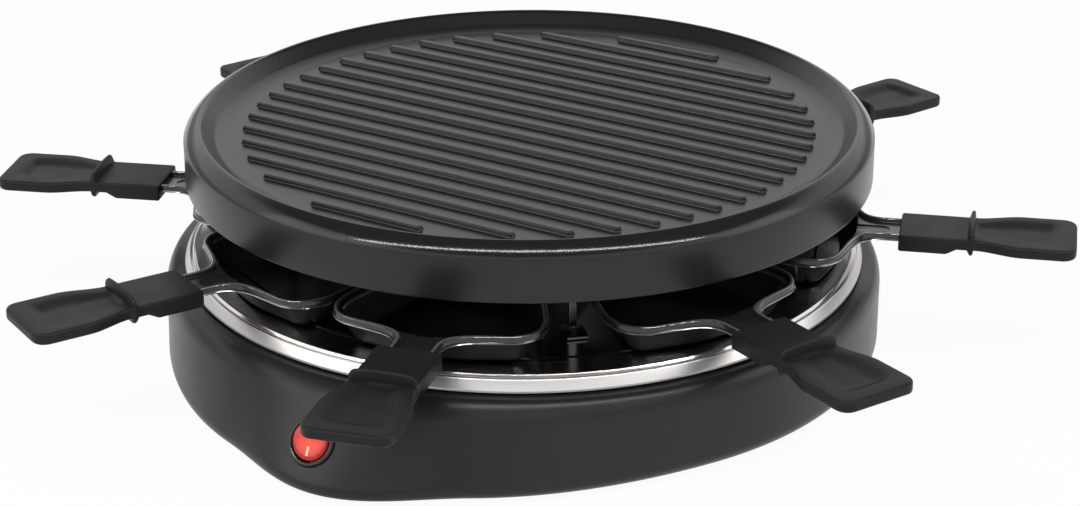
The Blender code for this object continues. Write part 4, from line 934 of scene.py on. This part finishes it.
def dish_outline(inset):
    """The dish's outline drawn in by an inset, from the inner right corner round to the left one."""
    slope = (DISH_HALF_WIDTH - DISH_INNER_HALF_WIDTH) / (0.1205 - DISH_INNER_END)
    stretch = hypot(1.0, slope)
    inner_y = DISH_INNER_END + inset
    wide_x = DISH_HALF_WIDTH - inset
    inner_x = DISH_INNER_HALF_WIDTH + slope * inset - inset * stretch
    wide_y = DISH_INNER_END + (wide_x - DISH_INNER_HALF_WIDTH + inset * stretch) / slope
    front_y = DISH_FRONT_END - inset * hypot(1.0, DISH_FRONT_SLOPE)
    corner_y = front_y - DISH_FRONT_SLOPE * wide_x
    right = [
        (inner_x, inner_y, 0.011 - inset / 2, 8),
        (wide_x, wide_y, 0.030, 4),
        (wide_x, corner_y, 0.015 - inset, 10),
    ]
    apex = (0.0, front_y, DISH_HALF_WIDTH * 1.5, 2 * NECK_POINTS - 1)
    corners = [*right, apex, *[(-x, y, radius, steps) for x, y, radius, steps in reversed(right)]]
    outline = []
    for i, (x, y, radius, steps) in enumerate(corners):
        before, after = corners[i - 1], corners[(i + 1) % len(corners)]
        outline += round_corner(before[:2], (x, y), after[:2], radius, steps)
    return [tuple(point) for point in outline]


def neck_side():
    """The right edge from the dish's front along an S curve to the strap and on to the tang's end."""
    root = Vector((0.0240, DISH_FRONT_END - DISH_FRONT_SLOPE * 0.0240))
    strap = Vector((STRAP_HALF_WIDTH, root.y + 0.0135))
    leave = Vector((-1.0, DISH_FRONT_SLOPE)).normalized() * 0.0095
    arrive = Vector((0.0, 0.0085))
    side = []
    curved = NECK_POINTS - 4
    for i in range(curved):
        t = i / (curved - 1)
        point = root * (1 - t) ** 3 + (root + leave) * 3 * t * (1 - t) ** 2
        point += (strap - arrive) * 3 * t * t * (1 - t) + strap * t**3
        side.append((point.x, point.y))
    for y in (0.1600, 0.1680, 0.1800, 0.1820):
        side.append((STRAP_HALF_WIDTH, y))
    return side


def pan_ring(inset, z, neck=1.0):
    """A ring of the rim. Its front points lie out along the neck, or on the dish's mouth where neck is 0."""
    dish = dish_outline(inset)
    side = neck_side()
    both = side + [(-x, y) for x, y in reversed(side)]
    start = (len(dish) - len(both)) // 2
    ring = lifted(dish, z)
    for i, (x, y) in enumerate(both):
        on_dish = Vector((*dish[start + i], z))
        on_neck = Vector((x - copysign(inset, x), y - inset, z))
        ring[start + i] = tuple(on_dish.lerp(on_neck, neck))
    return ring


def strap_channel():
    """A cutter for the pressed channel, from the dish's mouth out along the strap to a round end."""
    rings = []
    for half_width, drop in mm((2.9, 2.45), (3.4, 2.3), (4, 1.4), (4.4, 0.4)):
        end = arc((0.0, 0.1553), half_width, 0, 180, 16)
        outline = [(half_width, 0.1420), *end, (-half_width, 0.1420)]
        rings.append(lifted(outline, PAN_RIM - drop))
    return loft(rings, "strap_channel")


def pan_mesh():
    """The pressed pan: foot of the flange, its wall, rolled bead, sunk strap, sloping dish wall, floor."""
    flange = mm(
        (0.9, 3.2), (0.4, 3.3), (0.1, 3.2), (0, 2.9), (0.2, 2.6), (0.5, 2.3), (0.6, 1.9), (0.6, 0.9))
    for angle in (25, 50, 75, 100, 125, 150, 170):
        turn = radians(angle)
        inward, drop = 1 - cos(turn), 1 - sin(turn)
        flange.append((0.0006 + PAN_BEAD_RADIUS * inward, PAN_BEAD_RADIUS * drop))
    flange += mm((2.3, 1.5), (2.6, 1.8), (3, 1.8))
    rings = [pan_ring(inset, PAN_RIM - drop) for inset, drop in flange]
    rings.append(pan_ring(0.0030, PAN_RIM - 0.0019, 0.0))
    dish = [
        (0.00320, PAN_RIM - 0.0024), (0.00368, PAN_RIM - 0.0034), (0.00680, PAN_FLOOR + 0.0058),
        (0.00880, PAN_FLOOR + 0.0021), (0.00936, PAN_FLOOR + 0.0012), (0.00992, PAN_FLOOR + 0.0004),
        (0.01040, PAN_FLOOR), (0.01300, PAN_FLOOR),
    ]
    rings += [lifted(dish_outline(inset), z) for inset, z in dish]
    bm = bmesh.new()
    rows = [[bm.verts.new(point) for point in ring] for ring in rings]
    count = len(rows[0])
    for outer, inner in zip(rows, rows[1:]):
        for i in range(count):
            j = (i + 1) % count
            bm.faces.new((outer[j], outer[i], inner[i], inner[j]))
    bm.faces.new(rows[-1])
    bmesh.ops.recalc_face_normals(bm, faces=bm.faces)
    if sum(face.normal.z * face.calc_area() for face in bm.faces) < 0:
        bmesh.ops.reverse_faces(bm, faces=bm.faces)
    return cut(sheeted(mesh_from(bm, "pan", outward=False), PAN_SHEET), strap_channel())


HANDLE_START = 0.1635
GUARD_START = 0.1933
PADDLE_START = 0.1951
HANDLE_END = 0.2384
SLEEVE_TOP = 0.0645
SLEEVE_BOTTOM = 0.0573
SLEEVE_HALF_WIDTH = 0.0135
PADDLE_UNDERSIDE = 0.0597
PADDLE_HALF_WIDTH = 0.0183
PADDLE_FLARE_LENGTH = 0.0205
PADDLE_CORNER = 0.0062
SLEEVE_EDGE = 0.0008
PADDLE_EDGE = 0.0011


def handle_ring(y, half_width, top, bottom, corner, hollow=0.0, ears=0.0, reach=0.80):
    """An upright rounded rectangle across the handle. Its top may dip for the thumb or arch up."""
    flat = half_width - corner
    ring = arc((flat, top - corner), corner, 0, 90, 5)
    ring += [(flat * (1 - i / 12), top) for i in range(1, 24)]
    ring += arc((-flat, top - corner), corner, 90, 180, 5)
    ring += arc((-flat, bottom + corner), corner, 180, 270, 5)
    ring += [(-flat * (1 - i / 5), bottom) for i in range(1, 10)]
    ring += arc((flat, bottom + corner), corner, 270, 360, 5)
    points = []
    for x, z in ring:
        across = abs(x) / half_width
        if z > (top + bottom) / 2:
            z -= hollow * smoothed(1.6 * (1 - across / reach)) + ears * (1 - across**2)
        points.append((x, y, z))
    return points


def sleeve_rings():
    """The box-shaped sleeve: deep over the pan's tang, then slanting up to the paddle's depth."""
    sections = (
        (HANDLE_START, 0.0008, SLEEVE_BOTTOM), (HANDLE_START + 0.0002, 0.0003, SLEEVE_BOTTOM),
        (HANDLE_START + 0.0007, 0.0, SLEEVE_BOTTOM), (HANDLE_START + 0.0200, 0.0, SLEEVE_BOTTOM),
        (HANDLE_START + 0.0208, 0.0, SLEEVE_BOTTOM + 0.0003), (HANDLE_START + 0.0247, 0.0, PADDLE_UNDERSIDE),
        (GUARD_START - 0.0008, 0.0, PADDLE_UNDERSIDE),
    )
    return [
        handle_ring(y, SLEEVE_HALF_WIDTH - inset, SLEEVE_TOP - inset, bottom + inset, SLEEVE_EDGE)
        for y, inset, bottom in sections
    ]


def guard_rings():
    """The thin fin that keeps the fingers off the pan: an arched top over the sleeve, and a foot below."""
    tall, low, wide = SLEEVE_TOP + 0.0036, SLEEVE_BOTTOM - 0.0004, SLEEVE_HALF_WIDTH + 0.0002
    sections = mm((0.1, 0.8), (0.3, 0.2), (0.5, 0), (1.1, 0), (1.4, 0.2), (1.7, 0.8))
    return [
        handle_ring(GUARD_START + y, wide, tall - shrink, low + shrink, 0.0026 - shrink, ears=-0.0010)
        for y, shrink in sections
    ]


def thumb_depth(share):
    """The hollow's depth along the paddle: it starts at the guard and ends abruptly near the tip."""
    rise = 0.55 + 0.45 * smoothed(share, 0.0, 0.40)
    return 0.0017 * rise * smoothed(share, 0.0, 0.05) * smoothed(0.98 - share, 0.0, 0.14)


def thumb_width(share):
    """How far across the paddle the hollow reaches: a long oval, widest in its middle."""
    return 0.36 + 0.46 * sqrt(max(1 - ((share - 0.56) / 0.60) ** 2, 0.0))


def paddle_rings():
    """The paddle: it flares out of the sleeve, has a hollow for the thumb and ends in round corners."""
    steps = 40
    length = HANDLE_END - PADDLE_CORNER - PADDLE_START - 0.0002
    rings = []
    for i in range(steps + 1):
        share = i / steps
        along = length * share
        flare = smoothed(along, 0.0, PADDLE_FLARE_LENGTH)
        half_width = SLEEVE_HALF_WIDTH + 0.0001 + (PADDLE_HALF_WIDTH - SLEEVE_HALF_WIDTH - 0.0001) * flare
        y = PADDLE_START + 0.0002 + along
        thumb = {"hollow": thumb_depth(share), "reach": thumb_width(share)}
        rings.append(handle_ring(y, half_width, SLEEVE_TOP, PADDLE_UNDERSIDE, PADDLE_EDGE, **thumb))
    for angle in (12, 24, 36, 48, 60, 70, 80, 90):
        turn = radians(angle)
        y = HANDLE_END - PADDLE_CORNER * (1 - sin(turn))
        half_width = PADDLE_HALF_WIDTH - PADDLE_CORNER * (1 - cos(turn))
        thin = PADDLE_EDGE * (1 - cos(turn)) ** 2
        rings.append(handle_ring(y, half_width, SLEEVE_TOP - thin, PADDLE_UNDERSIDE + thin, PADDLE_EDGE))
    return rings


def make_pans():
    pan = pan_mesh()
    handle = loft([*sleeve_rings(), *guard_rings(), *paddle_rings()], "handle", angle=40)
    for i, (azimuth, shift) in enumerate(zip(PAN_AZIMUTHS, PAN_SHIFTS), 1):
        for name, mesh, finish, node in (
            (f"pressed_pan_{i}", pan, "pan_coating", f"pan_{i}"),
            (f"moulded_handle_{i}", handle, "handle_plastic", f"pan_handle_{i}"),
        ):
            place = moved(*place_at(azimuth, shift)) @ turned_to(azimuth)
            show(name, mesh.copy(), f"pan_{i}_body", finish, node, place=place)


# Switch, wiring and inlet


ROCKER_RADIUS = 0.0081
ROCKER_FACE_RADIUS = 0.0075
ROCKER_TILT = 7.0
MARK_OFFSET = 0.0042


def rocker_finish(matrix):
    """Clear red plastic, lit by the lamp behind it, with a plain stroke and ring moulded in."""
    f = Finish("rocker_red", Specular_IOR_Level=0.5, Emission_Strength=1.0)
    there = {"Vector": f.place, "Location": matrix.to_translation(), "Rotation": matrix.to_euler()}
    own = f.node("ShaderNodeMapping", there, vector_type="TEXTURE")
    x, y = f.part(own, "X"), f.part(own, "Y")
    stroke = x.size().below(0.00050) * (y + MARK_OFFSET).size().below(0.0019)
    to_ring = (x * x + (y - MARK_OFFSET) * (y - MARK_OFFSET)) ** 0.5 - 0.0016
    marks = stroke.larger(to_ring.size().below(0.00040))
    spread = ((x * x + y * y) ** 0.5) / ROCKER_RADIUS
    mottle = f.noise(0.0015, 2.0)
    glow = (1.0 - spread**2) * (0.75 + 0.35 * mottle)
    lit = f.blend(glow, (0.08, 0.001, 0.002), (0.78, 0.046, 0.008))
    f.put("Emission Color", f.blend(marks, lit, (1.0, 0.62, 0.42)))
    colour = f.blend(glow, (0.20, 0.004, 0.004), (0.30, 0.012, 0.006))
    return f.dress(colour, 0.14 + 0.10 * mottle, mottle, 0.00001)


def make_switch():
    place = BASE_PLACE @ switch_matrix()
    front, seat = 0.0013, -0.0013
    back, cavity = seat - 0.0110, front - 0.0100
    housing = turned("switch_bezel", [
        (0.0, cavity), (0.0084, cavity), (0.0086, cavity + 0.0004), (0.0086, front - 0.0006),
        (0.0088, front - 0.0002), (0.0092, front), (0.0097, front), (0.0101, front - 0.0002),
        (0.0104, front - 0.0007), (0.0104, seat), (0.0093, seat), (0.0093, back + 0.0004), (0.0089, back),
        (0.0, back)], 72)
    show("switch_bezel", housing, "base", "bezel_plastic", "switch_housing", place=place)

    tilt = Matrix.Rotation(radians(ROCKER_TILT), 4, "X")
    hinge = place @ moved(0.0, 0.0, front - 0.0006) @ tilt
    FINISHES["rocker_red"] = rocker_finish(hinge)
    sections = (
        (-0.0040, 0.0074), (-0.0004, ROCKER_RADIUS), (0.0004, ROCKER_RADIUS), (0.0009, 0.0079),
        (0.0012, ROCKER_FACE_RADIUS),
    )
    rings = [lifted(arc((0.0, 0.0), radius, 0, 360, 64)[:-1], z) for z, radius in sections]
    for share in (0.8, 0.55, 0.3, 0.1):
        circle = arc((0.0, 0.0), ROCKER_FACE_RADIUS * share, 0, 360, 64)[:-1]
        dips = [0.0005 * (1 - abs(y) / ROCKER_FACE_RADIUS) * (1 - share) for x, y in circle]
        rings.append([(x, y, 0.0012 - dip) for (x, y), dip in zip(circle, dips)])
    rocker = loft(rings, "lit_rocker", angle=40)
    show("lit_rocker", rocker, "rocker", "rocker_red", "switch_rocker", place=hinge)

    lamp = turned("glow_lamp", mm(
        (0, -4), (1, -3.9), (1.5, -3.5), (1.6, -3), (1.6, 2.8), (1.4, 3.4), (0.8, 3.8), (0, 4)), 24)
    across = place @ moved(0.0, 0.0, cavity + 0.0019) @ Matrix.Rotation(pi / 2, 4, "Y")
    show("glow_lamp", lamp, "base", "lamp_glass", "switch_lamp", place=across)
    outline = mm((-2.4, 0), (2.4, 0), (2.4, -6.8), (1.6, -8), (-1.6, -8), (-2.4, -6.8))
    for i, offset in enumerate((-0.005, 0.0, 0.005), 1):
        name = f"brass_blade_{i}"
        blade = loft([[(x, y, z) for y, z in outline] for x in (-0.0004, 0.0004)], name)
        behind = place @ moved(offset, 0.0, back - 0.0003)
        show(name, blade, "base", "brass", f"switch_terminal_{i}", place=behind)


def make_inlet():
    gland = turned("inlet_bush", mm(
        (3.6, 2.4), (4, 2.8), (6.2, 2.8), (7, 2.6), (8.2, 1.8), (8.5, 1.2), (8.5, 0.3), (6, 0.3),
        (6, -9.1), (5.6, -9.5), (3.6, -9.5)), 48)
    show("inlet_bush", gland, "base", "rubber", "cord_gland", place=BASE_PLACE @ gland_matrix())


def softened(node, name, finish, width, angle=SHARP_ANGLE):
    """A plain node with its points merged, and its edges rounded where a width is given."""
    bm = bmesh.new()
    bm.from_mesh(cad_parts[node].data)
    bmesh.ops.remove_doubles(bm, verts=bm.verts, dist=2 * MERGE_DISTANCE)
    bmesh.ops.dissolve_limit(bm, angle_limit=radians(1.0), verts=bm.verts, edges=bm.edges)
    obj = linked(name, mesh_from(bm, name))
    if width:
        edges = obj.modifiers.new("edges", "BEVEL")
        edges.width = width
        edges.segments = 2
        edges.angle_limit = radians(30)
    show(name, shaded(evaluated(obj), angle), "base", finish, node)


def make_wiring():
    softened("terminal_block", "terminal_block_moulded", "block_nylon", 0.0003)
    softened("thermal_cutout", "thermal_cutout_case", "cutout_case", 0.0)
    for i in range(1, 5):
        softened(f"lead_{i}", f"sleeved_lead_{i}", "lead_sleeving", 0.0, angle=60.0)


# Studio

CAMERA_LENS = 87.88
CAMERA_PLACE = (0.0, -1.08028, 0.50138)
CAMERA_RIGHT = (0.99998131, -0.00541036, -0.00284775)
CAMERA_UP = (0.00475004, 0.39421704, 0.91900509)
CAMERA_BACK = (-0.00384952, -0.91900144, 0.39423537)
# Name, place, width and height, and power in watts
LAMPS = (
    ("lamp_strip", (0.0, -0.75, 1.35), (2.8, 0.09), 23.0),
    ("lamp_left", (-1.6, -0.5, 0.9), (1.3, 1.2), 6.0),
    ("lamp_right", (1.7, -0.3, 0.8), (1.0, 1.2), 4.4),
)
LAMP_AIM = (0.0, 0.0, 0.06)
FLOOR_WHITE = 0.95


def make_studio():
    scene = bpy.context.scene
    scene.view_settings.view_transform = "Standard"
    data = bpy.data.cameras.new("camera")
    data.sensor_fit = "HORIZONTAL"
    data.sensor_width = 36.0
    data.lens = CAMERA_LENS
    data.clip_start = 0.05
    camera = bpy.data.objects.new("camera", data)
    scene.collection.objects.link(camera)
    turn = Matrix((CAMERA_RIGHT, CAMERA_UP, CAMERA_BACK)).transposed().to_4x4()
    camera.matrix_world = Matrix.Translation(CAMERA_PLACE) @ turn
    scene.camera = camera

    corners = ((-3, -3), (3, -3), (3, 3), (-3, 3))
    floor_object = linked("floor", loft([lifted(corners, z) for z in (0, -0.01)], "floor"))
    f = Finish("floor_paper")
    f.put("Base Color", f.blend(f.noise(0.4, 2.0), (0.80, 0.80, 0.80), (0.82, 0.82, 0.82)))
    f.put("Roughness", 0.9)
    f.lit_for_the_eye(FLOOR_WHITE)
    floor_object.data.materials.append(f.material)

    world = bpy.data.worlds.new("studio")
    world.use_nodes = True
    scene.world = world
    nodes = Nodes(world.node_tree)
    nodes.tree.nodes.clear()
    inputs = {"Color": (1.0, 1.0, 1.0, 1.0), "Strength": studio_light(nodes)}
    sky = nodes.node("ShaderNodeBackground", inputs)
    nodes.feed(nodes.tree.nodes.new("ShaderNodeOutputWorld").inputs[0], sky)

    for name, place, size, power in LAMPS:
        lamp = bpy.data.lights.new(name, "AREA")
        lamp.shape = "RECTANGLE"
        lamp.size, lamp.size_y = size
        lamp.energy = power
        holder = bpy.data.objects.new(name, lamp)
        scene.collection.objects.link(holder)
        aim = Vector(LAMP_AIM) - Vector(place)
        holder.matrix_world = Matrix.Translation(place) @ aim.to_track_quat("-Z", "Y").to_matrix().to_4x4()


make_studio()
make_plate()
make_shell()
make_tray()
make_underside()
make_posts()
make_heater()
make_pans()
make_switch()
make_inlet()
make_wiring()
